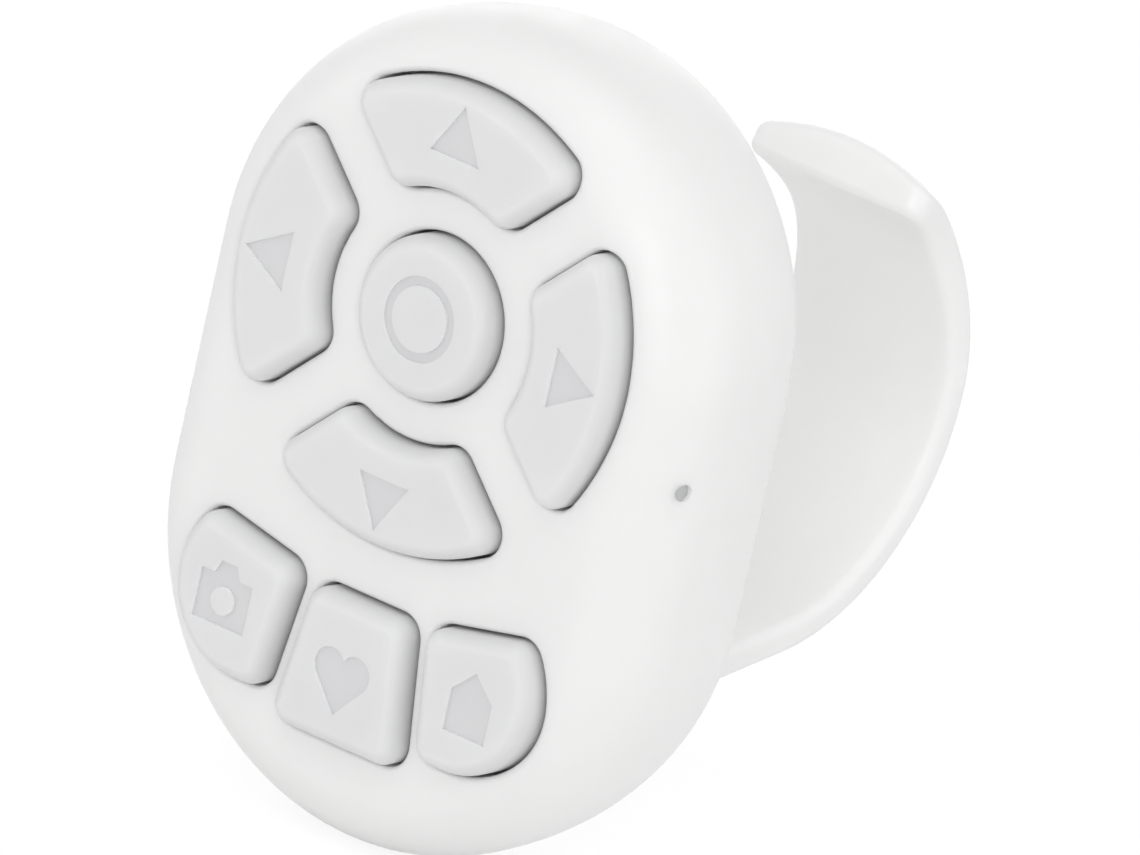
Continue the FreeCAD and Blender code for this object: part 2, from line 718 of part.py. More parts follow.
def cavity_section(side):
    """Half of the front shell's hollow."""
    corner = point(side * cavity_half, seam)
    return front_curves(side, cavity_half, ceiling, size.cavity_round, size.cavity_round) + [
        Part.LineSegment(point(side * cavity_half, ceiling + size.cavity_round), corner),
        Part.LineSegment(corner, point(0, seam)),
    ]


def make_front_shell():
    """The moulded casing: rounded face with key openings, flank, screw bosses and an open back."""
    body = new_body("front_shell")
    pebble(body, "casing", casing_section)
    pebble(body, "cavity", cavity_section, cut=True)

    bosses = face_sketch(body, "boss_circles", board_front)
    draw_circles(bosses, SCREW_PLACES, size.boss_radius)
    pad(body, "screw_bosses", bosses, board_front - ceiling + size.rest_gap)

    openings = face_sketch(body, "key_openings_outline", key_top)
    for outline in KEY_OUTLINES.values():
        draw_curves(openings, outline.curves())
    draw_circle(openings, 0, pad_z, size.centre_opening)
    pocket(body, "key_openings", openings, ceiling - key_top + size.cavity_round / 2)
    fillet(body, "opening_edges", size.opening_round, is_opening_edge)

    pilots = face_sketch(body, "pilot_circles", board_front)
    draw_circles(pilots, SCREW_PLACES, size.screw_radius + size.screw_gap)
    pilot_depth = size.screw_length - size.post_floor - size.board_thickness + size.part_gap
    pocket(body, "screw_pilots", pilots, pilot_depth, along=True)

    socket = level_sketch(body, "socket_opening_outline", bottom_z)
    socket_half, socket_side = size.socket_width / 2, size.socket_height / 2
    draw_slot(socket, 0, socket_y, socket_half + size.socket_gap, socket_side + size.socket_gap)
    pocket(body, "socket_opening", socket, size.side_wall * THROUGH + size.socket_setback, along=True)

    slot = flank_sketch(body, "knob_slot_outline", -half_width)
    slot_half = (size.knob_length + size.slide_travel) / 2 + size.knob_gap
    slot_side = size.knob_height / 2 + size.knob_gap
    draw_centred_box(slot, knob_y, switch_z, slot_side, slot_half)
    pocket(body, "knob_slot", slot, half_width + switch_outside, along=True)

    indicator = flank_sketch(body, "indicator_hole_outline", half_width)
    draw_circle(indicator, indicator_y, indicator_z, size.indicator_radius + size.screw_gap)
    pocket(body, "indicator_hole", indicator, half_width - pipe_inside + size.rest_gap)
    return body


def distance_from_spine(spot):
    """Distance in X and Z from the line between the centres of the housing's two ends."""
    spine_z = min(max(spot.z, float(low_z)), float(top_z))
    return math.hypot(spot.x, spot.z - spine_z)


def is_opening_edge(edge):
    """True for a key opening's edge on the outside of the face, and not for the rim of the face's flat."""
    box = edge.BoundBox
    span = edge.LastParameter - edge.FirstParameter
    spots = [edge.valueAt(edge.FirstParameter + share * span) for share in (0.0, 0.5, 1.0)]
    reach = [distance_from_spine(spot) for spot in spots]
    flat_half = float(half_width - size.face_round_in)
    is_flat_rim = box.YLength < SAME and abs(reach[1] - flat_half) < SAME
    is_outside = box.YMax < float(face + size.face_round_deep / 2)
    return is_outside and max(reach) < float(size.arc_outside + size.key_rise) and not is_flat_rim


def cover_section(side):
    """Half of the rear cover's section: a plate whose rim carries on the housing's rounding."""
    rim_half, rim_angle = outside_at(seam)
    return [
        Part.LineSegment(point(0, seam), point(side * rim_half, seam)),
        rear_rounding(side, rim_angle, math.pi / 2),
        Part.LineSegment(point(side * (half_width - size.back_round_in), back), point(0, back)),
    ]


def make_rear_cover():
    """The back plate with its four screw posts, the band's slot and the foot's pilot holes."""
    body = new_body("rear_cover")
    pebble(body, "plate", cover_section)

    lip_outer = cavity_half - size.seam_gap
    step = face_sketch(body, "step_outline", seam)
    draw_stadium(step, lip_outer, top_z, low_z)
    pad(body, "step", step, size.cover_thickness - size.cover_rim)
    lip = face_sketch(body, "lip_outline", cover_inside)
    draw_stadium(lip, lip_outer, top_z, low_z)
    draw_stadium(lip, lip_outer - size.lip_thickness, top_z, low_z)
    pad(body, "lip", lip, size.lip_height)

    posts = face_sketch(body, "post_circles", cover_inside)
    draw_circles(posts, SCREW_PLACES, post_radius)
    pad(body, "screw_posts", posts, cover_inside - board_back)

    shafts = face_sketch(body, "shaft_circles", back)
    draw_circles(shafts, SCREW_PLACES, size.screw_radius + size.shaft_gap)
    pocket(body, "shaft_holes", shafts, back - board_back, along=True)

    heads = face_sketch(body, "head_circles", back)
    draw_circles(heads, SCREW_PLACES, size.screw_head + size.head_gap)
    pocket(body, "head_holes", heads, back - screw_seat, along=True)

    slot = face_sketch(body, "band_slot_outline", back)
    slot_half = size.band_width / 2 + size.seam_gap
    slot_low, slot_high = leg_outside_at(cover_inside) - size.seam_gap, leg_inside_z + size.seam_gap
    draw_box(slot, -slot_half, slot_half, slot_low, slot_high)
    pocket(body, "band_slot", slot, size.cover_thickness, along=True)

    foot_pilots = face_sketch(body, "foot_pilot_circles", cover_inside)
    draw_circles(foot_pilots, FOOT_SCREW_PLACES, size.screw_radius + size.screw_gap)
    pocket(body, "foot_pilots", foot_pilots, size.foot_screw_length - size.foot_thickness + size.screw_gap)
    return body


def draw_band_section(sketch):
    """The band's section across X at the bore's radius: flat against the finger and crowned outside."""
    half, inner = float(size.band_width) / 2, float(size.band_bore)
    edge, crown = inner + float(size.band_edge), inner + float(size.band_edge + size.band_crown)
    draw_curves(sketch, [
        Part.LineSegment(point(-half, inner), point(half, inner)),
        Part.LineSegment(point(half, inner), point(half, edge)),
        Part.Arc(point(half, edge), point(0, crown), point(-half, edge)),
        Part.LineSegment(point(-half, edge), point(-half, inner)),
    ])


def draw_neck(sketch):
    """What the neck takes off both sides of the band: x across it, y along it away from the free end."""
    half = float(size.band_width) / 2
    fore, aft = -float(size.neck_fore), float(size.neck_aft)
    for side in (-1, 1):
        start, end = point(side * (half + NECK_OVERLAP), fore), point(side * (half + NECK_OVERLAP), aft)
        waist = point(side * (half - float(size.neck_depth)), 0)
        along = Vector(0, 1, 0)
        curve = Part.BSplineCurve()
        curve.interpolate(Points=[start, waist, end], InitialTangent=along, FinalTangent=along)
        outer_end, outer_start = end + Vector(side, 0, 0), start + Vector(side, 0, 0)
        draw_curves(sketch, [
            curve,
            Part.LineSegment(end, outer_end),
            Part.LineSegment(outer_end, outer_start),
            Part.LineSegment(outer_start, start),
        ])


def make_finger_band():
    """The open C-shaped band: an arc about the bore, a straight leg, a filleted root and a foot inside."""
    body = new_body("finger_band")
    section = level_sketch(body, "band_section", 0)
    draw_band_section(section)
    arc = turn(body, "Revolution", "band_arc", section, "H_Axis", float(size.band_tip))
    arc.Type = "TwoAngles"
    bind(arc, "Angle", size.band_tip)
    bind(arc, "Angle2", leg_start)

    neck = level_sketch(body, "neck_outline", 0)
    neck.AttachmentOffset = Placement(Vector(), Rotation(Vector(1, 0, 0), -float(size.neck_angle)))
    draw_neck(neck)
    pocket(body, "neck", neck, size.band_bore + size.band_edge + size.band_crown, along=True)

    leg_section = level_sketch(body, "leg_section", 0)
    leg_section.AttachmentOffset = Placement(Vector(), Rotation(Vector(1, 0, 0), -float(leg_start)))
    draw_band_section(leg_section)
    leg_length = (size.band_bore * math.sin(lean) - cover_inside + size.foot_thickness) / math.cos(lean)
    pad(body, "band_leg", leg_section, leg_length, away=True)

    radius = float(size.root_round)
    hub = point(back + radius, leg_inside_at(back + radius) + radius / math.cos(lean))
    on_back = point(back, hub.y)
    on_leg = hub + Vector(math.sin(lean), -math.cos(lean), 0) * radius
    bulge = hub + ((on_back + on_leg) * 0.5 - hub).normalize() * radius
    sunk = point(back, leg_inside_at(back) - float(size.band_edge) / 2)
    sunk_behind = point(on_leg.x, on_leg.y - float(size.band_edge) / 2)
    root = flank_sketch(body, "root_fillet_outline", 0)
    draw_curves(root, [
        Part.Arc(on_back, bulge, on_leg),
        Part.LineSegment(on_leg, sunk_behind),
        Part.LineSegment(sunk_behind, sunk),
        Part.LineSegment(sunk, on_back),
    ])
    pad(body, "root_fillet", root, size.band_width, both_ways=True)

    fillet(body, "free_end_corners", size.band_corner, is_free_end_corner)
    fillet(body, "band_edges", size.band_round, is_band_edge)

    foot = face_sketch(body, "foot_outline", cover_inside)
    foot_half = size.band_width / 2 - size.seam_gap
    draw_box(foot, -foot_half, foot_half, leg_outside_at(cover_inside) + size.band_crown, foot_top)
    pad(body, "foot", foot, size.foot_thickness)
    holes = face_sketch(body, "foot_screw_circles", cover_inside)
    draw_circles(holes, FOOT_SCREW_PLACES, size.screw_radius + size.shaft_gap)
    pocket(body, "foot_screw_holes", holes, size.foot_thickness + size.seam_gap, along=True)
    return body


def is_free_end_corner(edge):
    """True for the two short edges across the band's thickness at its free end."""
    box = edge.BoundBox
    at_side = abs(abs(edge.CenterOfMass.x) - float(size.band_width) / 2) < SAME and box.XLength < SAME
    spot = edge.CenterOfMass
    angle = math.degrees(math.atan2(spot.z, spot.y))
    return at_side and abs(angle - float(size.band_tip)) < SAME_ANGLE


def band_depth(spot):
    """How far a spot lies below the band's finger side, on the arc or on the leg."""
    if spot.y > float(size.band_bore) * math.sin(lean):
        return math.hypot(spot.y, spot.z) - float(size.band_bore)
    return spot.y * math.sin(lean) - spot.z * math.cos(lean) - float(size.band_bore)


def is_band_edge(edge):
    """True for the edges that run along the band's sides and round its free end, behind the housing."""
    box = edge.BoundBox
    side_limit = float(size.band_width / 2 - size.neck_depth * NECK_MARGIN)
    at_side = box.XMin * box.XMax > 0 and min(abs(box.XMin), abs(box.XMax)) > side_limit
    spot = edge.CenterOfMass
    angle = math.degrees(math.atan2(spot.z, spot.y))
    near_end = spot.y > 0 and angle > float(size.neck_angle)
    depths = [band_depth(edge.valueAt(end)) for end in (edge.FirstParameter, edge.LastParameter)]
    is_across = spot.y > 0 and abs(depths[1] - depths[0]) > float(size.band_edge) / 2
    is_behind = box.YMax > float(back) + SAME
    return is_behind and not is_across and (at_side or near_end)


def key_body(name, cap_outline, flange_outline):
    """A key: a cap with a rounded top that stands out of its opening, and a flange behind the face."""
    body = new_body(name)
    cap = face_sketch(body, f"{name}_cap_outline", flange_back)
    cap_outline(cap)
    pad(body, f"{name}_cap", cap, flange_back - key_top)
    flange = face_sketch(body, f"{name}_flange_outline", flange_back)
    flange_outline(flange)
    pad(body, f"{name}_flange", flange, size.flange_thickness)
    fillet(body, f"{name}_rounding", size.key_round, lambda edge: edge.BoundBox.YMax < float(key_top) + SAME)
    return body


def mark_key(body, draw_mark):
    """Sinks a mark into a key's top."""
    mark = face_sketch(body, f"{body.Label}_mark_outline", key_top)
    draw_mark(mark)
    pocket(body, f"{body.Label}_mark", mark, size.icon_depth)


def draw_arrow(direction):
    """A drawer of an arrowhead that points away from the pad's centre."""
    across = Vector(-direction.y, direction.x, 0) * float(size.arrow_edge / 2)
    base = point(0, pad_z) + direction * float(size.arrow_base)
    apex = base + direction * float(size.arrow_edge * TRIANGLE_HEIGHT)
    return lambda sketch: draw_polygon(sketch, [base + across, base - across, apex])


def draw_ring_mark(sketch):
    draw_circle(sketch, 0, pad_z, size.ring_mark)
    draw_circle(sketch, 0, pad_z, size.ring_mark - size.ring_mark_width)


def draw_heart_mark(sketch):
    """Two lobes and two straight sides that meet at a point."""
    lobe = float(size.heart_lobe)
    offset = float(size.heart_mark) / 2 - lobe
    mark_z = KEY_CENTRES["key_heart"][1] - size.heart_mark_drop
    lobe_z = float(mark_z + size.heart_lobe_rise)
    notch = point(0, lobe_z + math.sqrt(lobe ** 2 - offset ** 2))
    foot = point(0, mark_z - size.heart_point)
    hub = point(offset, lobe_z)
    reach = (hub - foot).Length
    leave = math.atan2(hub.y - foot.y, hub.x - foot.x) - math.asin(lobe / reach)
    side = foot + Vector(math.cos(leave), math.sin(leave), 0) * math.sqrt(reach ** 2 - lobe ** 2)
    crown = hub + Vector(LOBE_CROWN).normalize() * lobe
    draw_curves(sketch, [
        Part.Arc(notch, crown, side),
        Part.LineSegment(side, foot),
        Part.LineSegment(foot, point(-side.x, side.y)),
        Part.Arc(point(-side.x, side.y), point(-crown.x, crown.y), notch),
    ])


def draw_house_mark(sketch):
    """A gable over a square wall."""
    x, z = size.side_mark_middle, side_mark_z
    half = size.house_mark / 2
    floor, eaves, apex = z - size.house_floor, z + size.house_eaves, z + size.house_apex
    draw_polygon(sketch, [
        point(x - half, floor), point(x + half, floor), point(x + half, eaves),
        point(x, apex), point(x - half, eaves),
    ])


def draw_camera_mark(sketch):
    """A camera body with a hump and a round lens left standing."""
    x, z = -size.side_mark_middle, side_mark_z
    half = size.camera_mark / 2
    top, floor = z + size.camera_top, z - size.camera_floor
    hump, hump_top, hump_foot = z + size.camera_hump, half * CAMERA_HUMP_TOP, half * CAMERA_HUMP_FOOT
    draw_polygon(sketch, [
        point(x - half, floor), point(x + half, floor), point(x + half, top), point(x + hump_foot, top),
        point(x + hump_top, hump), point(x - hump_top, hump), point(x - hump_foot, top), point(x - half, top),
    ])
    draw_circle(sketch, x, z - size.camera_lens_drop, size.camera_lens)


def make_keys():
    """The eight keys, each with its own mark."""
    marks = {
        "key_up": draw_arrow(Vector(0, 1, 0)),
        "key_right": draw_arrow(Vector(1, 0, 0)),
        "key_down": draw_arrow(Vector(0, -1, 0)),
        "key_left": draw_arrow(Vector(-1, 0, 0)),
        "key_camera": draw_camera_mark,
        "key_heart": draw_heart_mark,
        "key_home": draw_house_mark,
    }
    keys = []
    for name, outline in KEY_OUTLINES.items():
        cap, flange = outline.grown(-size.key_gap), outline.grown(size.flange_reach)
        body = key_body(
            name,
            lambda sketch, curves=cap.curves(): draw_curves(sketch, curves),
            lambda sketch, curves=flange.curves(): draw_curves(sketch, curves),
        )
        mark_key(body, marks[name])
        keys.append(body)
    centre = key_body(
        "key_centre",
        lambda sketch: draw_circle(sketch, 0, pad_z, size.centre_opening - size.key_gap),
        lambda sketch: draw_circle(sketch, 0, pad_z, size.centre_opening + size.flange_reach),
    )
    mark_key(centre, draw_ring_mark)
    return keys + [centre]


def make_keypad_membrane():
    """The silicone mat: a sheet on the board with a press pad and a hollow for each snap dome."""
    body = new_body("keypad_membrane")
    outline = face_sketch(body, "mat_outline", board_front)
    draw_stadium(outline, cavity_half - size.mat_inset, top_z, low_z)
    pad(body, "mat_sheet", outline, size.mat_thickness)

    pads = face_sketch(body, "mat_pad_circles", mat_front)
    draw_circles(pads, KEY_CENTRES.values(), size.mat_pad)
    pad(body, "mat_pads", pads, size.mat_rise)

    hollows = face_sketch(body, "dome_hollow_circles", board_front)
    draw_circles(hollows, KEY_CENTRES.values(), size.dome_radius + size.dome_clearance)
    pocket(body, "dome_hollows", hollows, size.dome_height + size.dome_clearance, along=True)

    bosses = face_sketch(body, "mat_boss_circles", board_front)
    draw_circles(bosses, SCREW_PLACES, size.boss_radius + size.part_gap)
    pocket(body, "mat_boss_holes", bosses, size.mat_thickness * THROUGH, along=True)

    window = face_sketch(body, "lamp_window_outline", board_front)
    window_low, window_high = indicator_z - size.lamp_length, indicator_z + size.lamp_length
    draw_box(window, pipe_inside - size.part_gap / 2, cavity_half, window_low, window_high)
    pocket(body, "lamp_window", window, size.mat_thickness * THROUGH, along=True)
    return body


def make_circuit_board():
    """The board, which fills the housing and is clamped between the bosses and the posts."""
    body = new_body("circuit_board")
    outline = face_sketch(body, "board_outline", board_back)
    draw_stadium(outline, board_half, top_z, low_z)
    pad(body, "board", outline, size.board_thickness)
    holes = face_sketch(body, "board_hole_circles", board_back)
    draw_circles(holes, SCREW_PLACES, size.screw_radius + size.shaft_gap)
    pocket(body, "board_holes", holes, size.board_thickness * THROUGH, along=True)
    return body


def make_usb_shell():
    """The charging socket's sheet-metal shell, open at the housing's bottom end."""
    body = new_body("usb_shell")
    outline = level_sketch(body, "socket_outline", socket_mouth)
    socket_half, socket_side = size.socket_width / 2, size.socket_height / 2
    draw_slot(outline, 0, socket_y, socket_half, socket_side)
    pad(body, "socket", outline, size.socket_length)
    hollow = level_sketch(body, "socket_hollow_outline", socket_mouth)
    draw_slot(hollow, 0, socket_y, socket_half - size.socket_wall, socket_side - size.socket_wall)
    pocket(body, "socket_hollow", hollow, size.socket_length - size.socket_wall, along=True)
    return body


def make_usb_tongue():
    """The contact tongue, which stands on the socket's rear wall."""
    body = new_body("usb_tongue")
    outline = level_sketch(body, "tongue_outline", socket_mouth + size.socket_length - size.socket_wall)
    draw_centred_box(outline, 0, socket_y, size.tongue_width / 2, size.tongue_thickness / 2)
    pad(body, "tongue", outline, size.tongue_length, away=True)
    return body


def make_power_switch():
    """The slide switch's body on the board, and the knob in the flank's slot, at its lower stop."""
    body = new_body("power_switch_body")
    outline = face_sketch(body, "switch_outline", board_back + size.switch_height)
    switch_half = size.switch_length / 2
    switch_side = size.switch_width / 2
    draw_centred_box(outline, switch_outside + switch_side, switch_z, switch_side, switch_half)
    pad(body, "switch", outline, size.switch_height)
    track = flank_sketch(body, "switch_track_outline", switch_outside)
    track_half = size.slide_travel / 2 + size.lever_half + size.knob_gap
    track_side = size.lever_half + size.knob_gap
    draw_centred_box(track, knob_y, switch_z, track_side, track_half)
    pocket(body, "switch_track", track, size.lever_reach + size.knob_gap, along=True)

    knob = new_body("power_switch_knob")
    cap_outside, cap_inside = size.knob_setback - half_width, switch_outside - size.knob_gap
    knob_z = switch_z - size.slide_travel / 2
    cap = flank_sketch(knob, "knob_outline", cap_outside)
    knob_half, knob_side = size.knob_length / 2, size.knob_height / 2
    draw_centred_box(cap, knob_y, knob_z, knob_side, knob_half)
    pad(knob, "knob_cap", cap, cap_inside - cap_outside)
    lever = flank_sketch(knob, "lever_outline", cap_inside)
    draw_centred_box(lever, knob_y, knob_z, size.lever_half, size.lever_half)
    pad(knob, "lever", lever, size.knob_gap + size.lever_reach)
    fillet(knob, "knob_edges", size.grip_depth, lambda edge: edge.BoundBox.XMax < float(cap_outside) + SAME)
    grooves = flank_sketch(knob, "grip_outline", cap_outside)
    for step in (-1, 0, 1):
        draw_centred_box(grooves, knob_y, knob_z + size.grip_pitch * step, knob_side, size.grip_depth)
    pocket(knob, "grip_grooves", grooves, size.grip_depth, along=True)
    return [body, knob]


def make_light_pipe():
    """The clear rod in the flank's hole, with a foot over the lamp."""
    body = new_body("light_pipe")
    rod = flank_sketch(body, "rod_outline", pipe_inside)
    draw_circle(rod, indicator_y, indicator_z, size.indicator_radius)
    pad(body, "rod", rod, pipe_outside - pipe_inside)
    foot = face_sketch(body, "pipe_foot_outline", board_front - size.lamp_height - size.rest_gap)
    half = size.indicator_radius
    draw_box(foot, pipe_inside, pipe_inside + half * 2, indicator_z - half, indicator_z + half)
    pad(body, "pipe_foot", foot, board_front - size.lamp_height - size.rest_gap - indicator_y)
    return body


def make_battery():
    """The flat cell."""
    body = new_body("battery")
    outline = face_sketch(body, "cell_outline", tape_front)
    draw_box(outline, -size.battery_width / 2, size.battery_width / 2, battery_low, battery_high)
    pad(body, "cell", outline, size.battery_thickness)
    fillet(body, "cell_edges", size.battery_round, lambda edge: True)
    return body


def primitive(kind, label, base, turned=Rotation(), **sizes):
    """A Part primitive whose sizes and place are tied to the sheet."""
    item = doc.addObject(f"Part::{kind}", label)
    item.Placement = Placement(Vector(*(float(value) for value in base)), turned)
    for axis, amount in zip("xyz", base):
        bind(item, f"Placement.Base.{axis}", amount)
    for name, amount in sizes.items():
        bind(item, name, amount)
    return item


def chip(label, x, z, width, height, thickness, on_front=False):
    """A block on one side of the board, about x and z."""
    width, height, thickness = as_size(width), as_size(height), as_size(thickness)
    y = board_front - thickness if on_front else board_back
    corner = (x - width / 2, y, z - height / 2)
    return primitive("Box", label, corner, Length=width, Width=thickness, Height=height)


def group(label, members):
    """Separate solids that share one node."""
    item = doc.addObject("Part::Compound", label)
    item.Links = members
    return item


TO_FACE = Rotation(Vector(1, 0, 0), 90)
UPRIGHT_BEND = Rotation(Vector(0, 1, 0), Vector(0, 0, 1), Vector(1, 0, 0), "XYZ")


def make_screws(label, places, seat, length):
    """Screws with heads on a seat at y and shafts to the face, or to the back if the length is negative."""
    turned = TO_FACE if float(length) > 0 else TO_FACE.inverted()
    long = length if float(length) > 0 else -length
    toward_head = 1 if float(length) > 0 else -1
    screws = []
    for number, (x, z) in enumerate(places, start=1):
        head_y = as_size(seat) + size.screw_head_height * toward_head
        head = primitive("Cylinder", f"{label}_head_{number}", (x, head_y, z), turned,
                         Radius=size.screw_head, Height=size.screw_head_height)
        shaft = primitive("Cylinder", f"{label}_shaft_{number}", (x, seat, z), turned,
                          Radius=size.screw_radius, Height=long)
        screw = doc.addObject("Part::Fuse", f"{label}_{number}")
        screw.Base, screw.Tool = head, shaft
        screws.append(screw)
    return group(label, screws)


def make_leads():
    """Two short wires from the cell's upper end round to the board."""
    leads = []
    lead_y = (tape_front + battery_front) / 2
    for number, side in enumerate((-1, 1), start=1):
        x = side * size.lead_radius * LEAD_SPREAD
        bend_z = battery_high + size.lead_bend
        rise = primitive("Cylinder", f"lead_rise_{number}", (x, lead_y, battery_high),
                         Radius=size.lead_radius, Height=size.lead_bend)
        hub = (x, lead_y - size.lead_bend, bend_z)
        bend = primitive("Torus", f"lead_bend_{number}", hub, UPRIGHT_BEND,
                         Radius1=size.lead_bend, Radius2=size.lead_radius, Angle3=as_size(90))
        drop_start = (x, lead_y - size.lead_bend, bend_z + size.lead_bend)
        drop = primitive("Cylinder", f"lead_drop_{number}", drop_start, TO_FACE,
                         Radius=size.lead_radius, Height=lead_y - size.lead_bend - board_back)
        lead = doc.addObject("Part::MultiFuse", f"lead_{number}")
        lead.Shapes = [rise, bend, drop]
        leads.append(lead)
    return group("battery_leads", leads)


def make_small_parts():
    """What is soldered to the board, stuck to the cell, or screwed."""
    domes = [
        primitive("Cone", f"dome_{name}", (x, board_front, z), TO_FACE,
                  Radius1=size.dome_radius, Radius2=size.dome_radius / 2, Height=size.dome_height)
        for name, (x, z) in KEY_CENTRES.items()
    ]
    passives = [
        chip(f"passive_{number}", x, middle + z, size.passive_length, size.passive_width, size.passive_width)
        for number, (x, z) in enumerate(PASSIVE_PLACES, start=1)
    ]
    inset = size.battery_round
    tape_corner = (inset - size.battery_width / 2, tape_front, battery_low + inset)
    tape = primitive("Box", "battery_pad", tape_corner, Length=size.battery_width - inset * 2,
                     Width=size.tape_thickness, Height=size.battery_height - inset * 2)
    lamp_x = pipe_inside + size.indicator_radius
    return [
        group("dome_switches", domes),
        group("small_components", passives),
        chip("indicator_led", lamp_x, indicator_z, size.lamp_width, size.lamp_length, size.lamp_height, True),
        *(chip(label, x, middle + z, width, height, rise) for label, x, z, width, height, rise in CHIPS),
        tape,
        make_leads(),
        make_screws("cover_screws", SCREW_PLACES, screw_seat, size.screw_length),
        make_screws("band_screws", FOOT_SCREW_PLACES, foot_seat, -size.foot_screw_length),
    ]


doc.recompute()
nodes = [make_front_shell(), make_rear_cover(), make_finger_band()]
nodes += make_keys()
nodes += [make_keypad_membrane(), make_circuit_board(), make_usb_shell(), make_usb_tongue()]
nodes += make_power_switch()
nodes += [make_light_pipe(), make_battery()]
nodes += make_small_parts()
doc.recompute()

for item in doc.Objects:
    if "Invalid" in item.State or "Error" in item.State:
        raise ValueError(f"{item.Label} failed: {item.State}")
for node in nodes:
    if node.Shape.isNull() or not node.Shape.isValid():
        raise ValueError(f"{node.Label} has no valid shape")
os.makedirs("parts", exist_ok=True)
for node in nodes:
    node.Shape.exportStep(f"parts/{node.Label}.step")
    print(f"{node.Label}: {len(node.Shape.Solids)} solid(s), {node.Shape.Volume:.2f} mm3")
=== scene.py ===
"""The looks of a bluetooth ring remote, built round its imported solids.

Row frame: +X to the right as the key face is seen, +Z up along the housing, the face looks to -Y.
The origin is the centre of the finger band's bore. Sizes are metres, and MM turns millimetres into them.
"""

import json
import logging
import math
from dataclasses import dataclass
from enum import Enum

import bmesh
import bpy
from mathutils import Matrix, Vector


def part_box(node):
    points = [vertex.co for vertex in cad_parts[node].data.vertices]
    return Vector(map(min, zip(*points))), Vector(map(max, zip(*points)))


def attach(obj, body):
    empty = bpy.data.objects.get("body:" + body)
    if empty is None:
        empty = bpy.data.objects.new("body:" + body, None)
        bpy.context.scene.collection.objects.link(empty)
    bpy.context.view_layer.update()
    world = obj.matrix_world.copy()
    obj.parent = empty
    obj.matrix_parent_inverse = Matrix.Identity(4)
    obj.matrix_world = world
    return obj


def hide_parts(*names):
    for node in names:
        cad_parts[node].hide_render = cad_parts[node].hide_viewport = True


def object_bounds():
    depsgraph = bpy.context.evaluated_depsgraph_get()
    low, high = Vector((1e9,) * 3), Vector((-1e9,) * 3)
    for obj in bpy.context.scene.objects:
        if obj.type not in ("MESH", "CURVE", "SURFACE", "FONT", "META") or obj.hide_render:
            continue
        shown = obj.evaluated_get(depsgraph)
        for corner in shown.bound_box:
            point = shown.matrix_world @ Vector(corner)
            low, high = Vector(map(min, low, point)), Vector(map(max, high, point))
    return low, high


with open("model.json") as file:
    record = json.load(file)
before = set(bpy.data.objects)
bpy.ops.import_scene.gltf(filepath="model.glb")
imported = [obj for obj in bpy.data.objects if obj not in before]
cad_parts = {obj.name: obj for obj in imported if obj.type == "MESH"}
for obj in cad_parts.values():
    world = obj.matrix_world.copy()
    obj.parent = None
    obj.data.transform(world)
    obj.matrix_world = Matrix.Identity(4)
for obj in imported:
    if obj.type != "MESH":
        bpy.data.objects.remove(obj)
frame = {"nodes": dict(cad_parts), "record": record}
SOLIDS_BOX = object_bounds()

MM = 0.001
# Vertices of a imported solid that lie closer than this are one
WELD = 0.0005 * MM
WHITE = (1, 1, 1, 1)
# The middle of a noise, where nearly all its values lie
NOISE_LOW, NOISE_HIGH = 0.3, 0.7
# Finer layers in the noise of gloss, colour patches and relief
GLOSS_LAYERS, PATCH_LAYERS, RELIEF_LAYERS = 4, 3, 2
# Size of the patches of gloss, as a share of the colour's
GLOSS_PATCH = 0.25
RELIEF_STRENGTH = 0.5
log = logging.getLogger("ring_remote")


class Grain(Enum):
    """How a surface's fine relief is patterned."""

    FINE = "fine"
    CELLS = "cells"


class NodeGraph:
    """A tree of shader nodes under work."""

    def __init__(self, tree: bpy.types.NodeTree, output: str) -> None:
        """Empties the tree and gives it its output.

        Args:
            tree: The tree.
            output: The output node's Blender type, without its ShaderNode prefix.
        """
        self.tree = tree
        self.tree.nodes.clear()
        self.output = self.add(output)

    def add(self, kind: str, **values: object) -> bpy.types.Node:
        """Adds a node and sets its sockets.

        Args:
            kind: The node's Blender type, without its ShaderNode prefix.
            **values: Socket values, with underscores for the spaces of a socket's name.

        Returns:
            The new node.
        """
        node = self.tree.nodes.new(f"ShaderNode{kind}")
        for name, value in values.items():
            node.inputs[name.replace("_", " ")].default_value = value
        return node

    def link(self, source: bpy.types.NodeSocket, target: bpy.types.NodeSocket) -> None:
        """Joins two sockets."""
        self.tree.links.new(source, target)

    def compute(
        self, operation: str, first: bpy.types.NodeSocket, second: bpy.types.NodeSocket | float
    ) -> bpy.types.NodeSocket:
        """Works a value out of two others.

        Args:
            operation: The Math node's operation.
            first: The first value.
            second: The second value, a socket or a plain number.

        Returns:
            The result.
        """
        node = self.add("Math")
        node.operation = operation
        self.link(first, node.inputs[0])
        if isinstance(second, float):
            node.inputs[1].default_value = second
        else:
            self.link(second, node.inputs[1])
        return node.outputs["Value"]

    def mix_shaders(self, *sockets: bpy.types.NodeSocket) -> bpy.types.NodeSocket:
        """Mixes two shaders.

        Args:
            *sockets: The second shader's share, the first shader and the second shader.

        Returns:
            The mixed shader.
        """
        node = self.add("MixShader")
        for source, target in zip(sockets, node.inputs):
            self.link(source, target)
        return node.outputs["Shader"]

    def background_rays(self) -> bpy.types.NodeSocket:
        """Tells the rays that show the background, straight or by way of metal or glass.

        Returns:
            1 for such a ray and 0 for one that lights the object.
        """
        path = self.add("LightPath")
        seen = self.compute("MAXIMUM", path.outputs["Is Camera Ray"], path.outputs["Is Glossy Ray"])
        return self.compute("MAXIMUM", seen, path.outputs["Is Transmission Ray"])


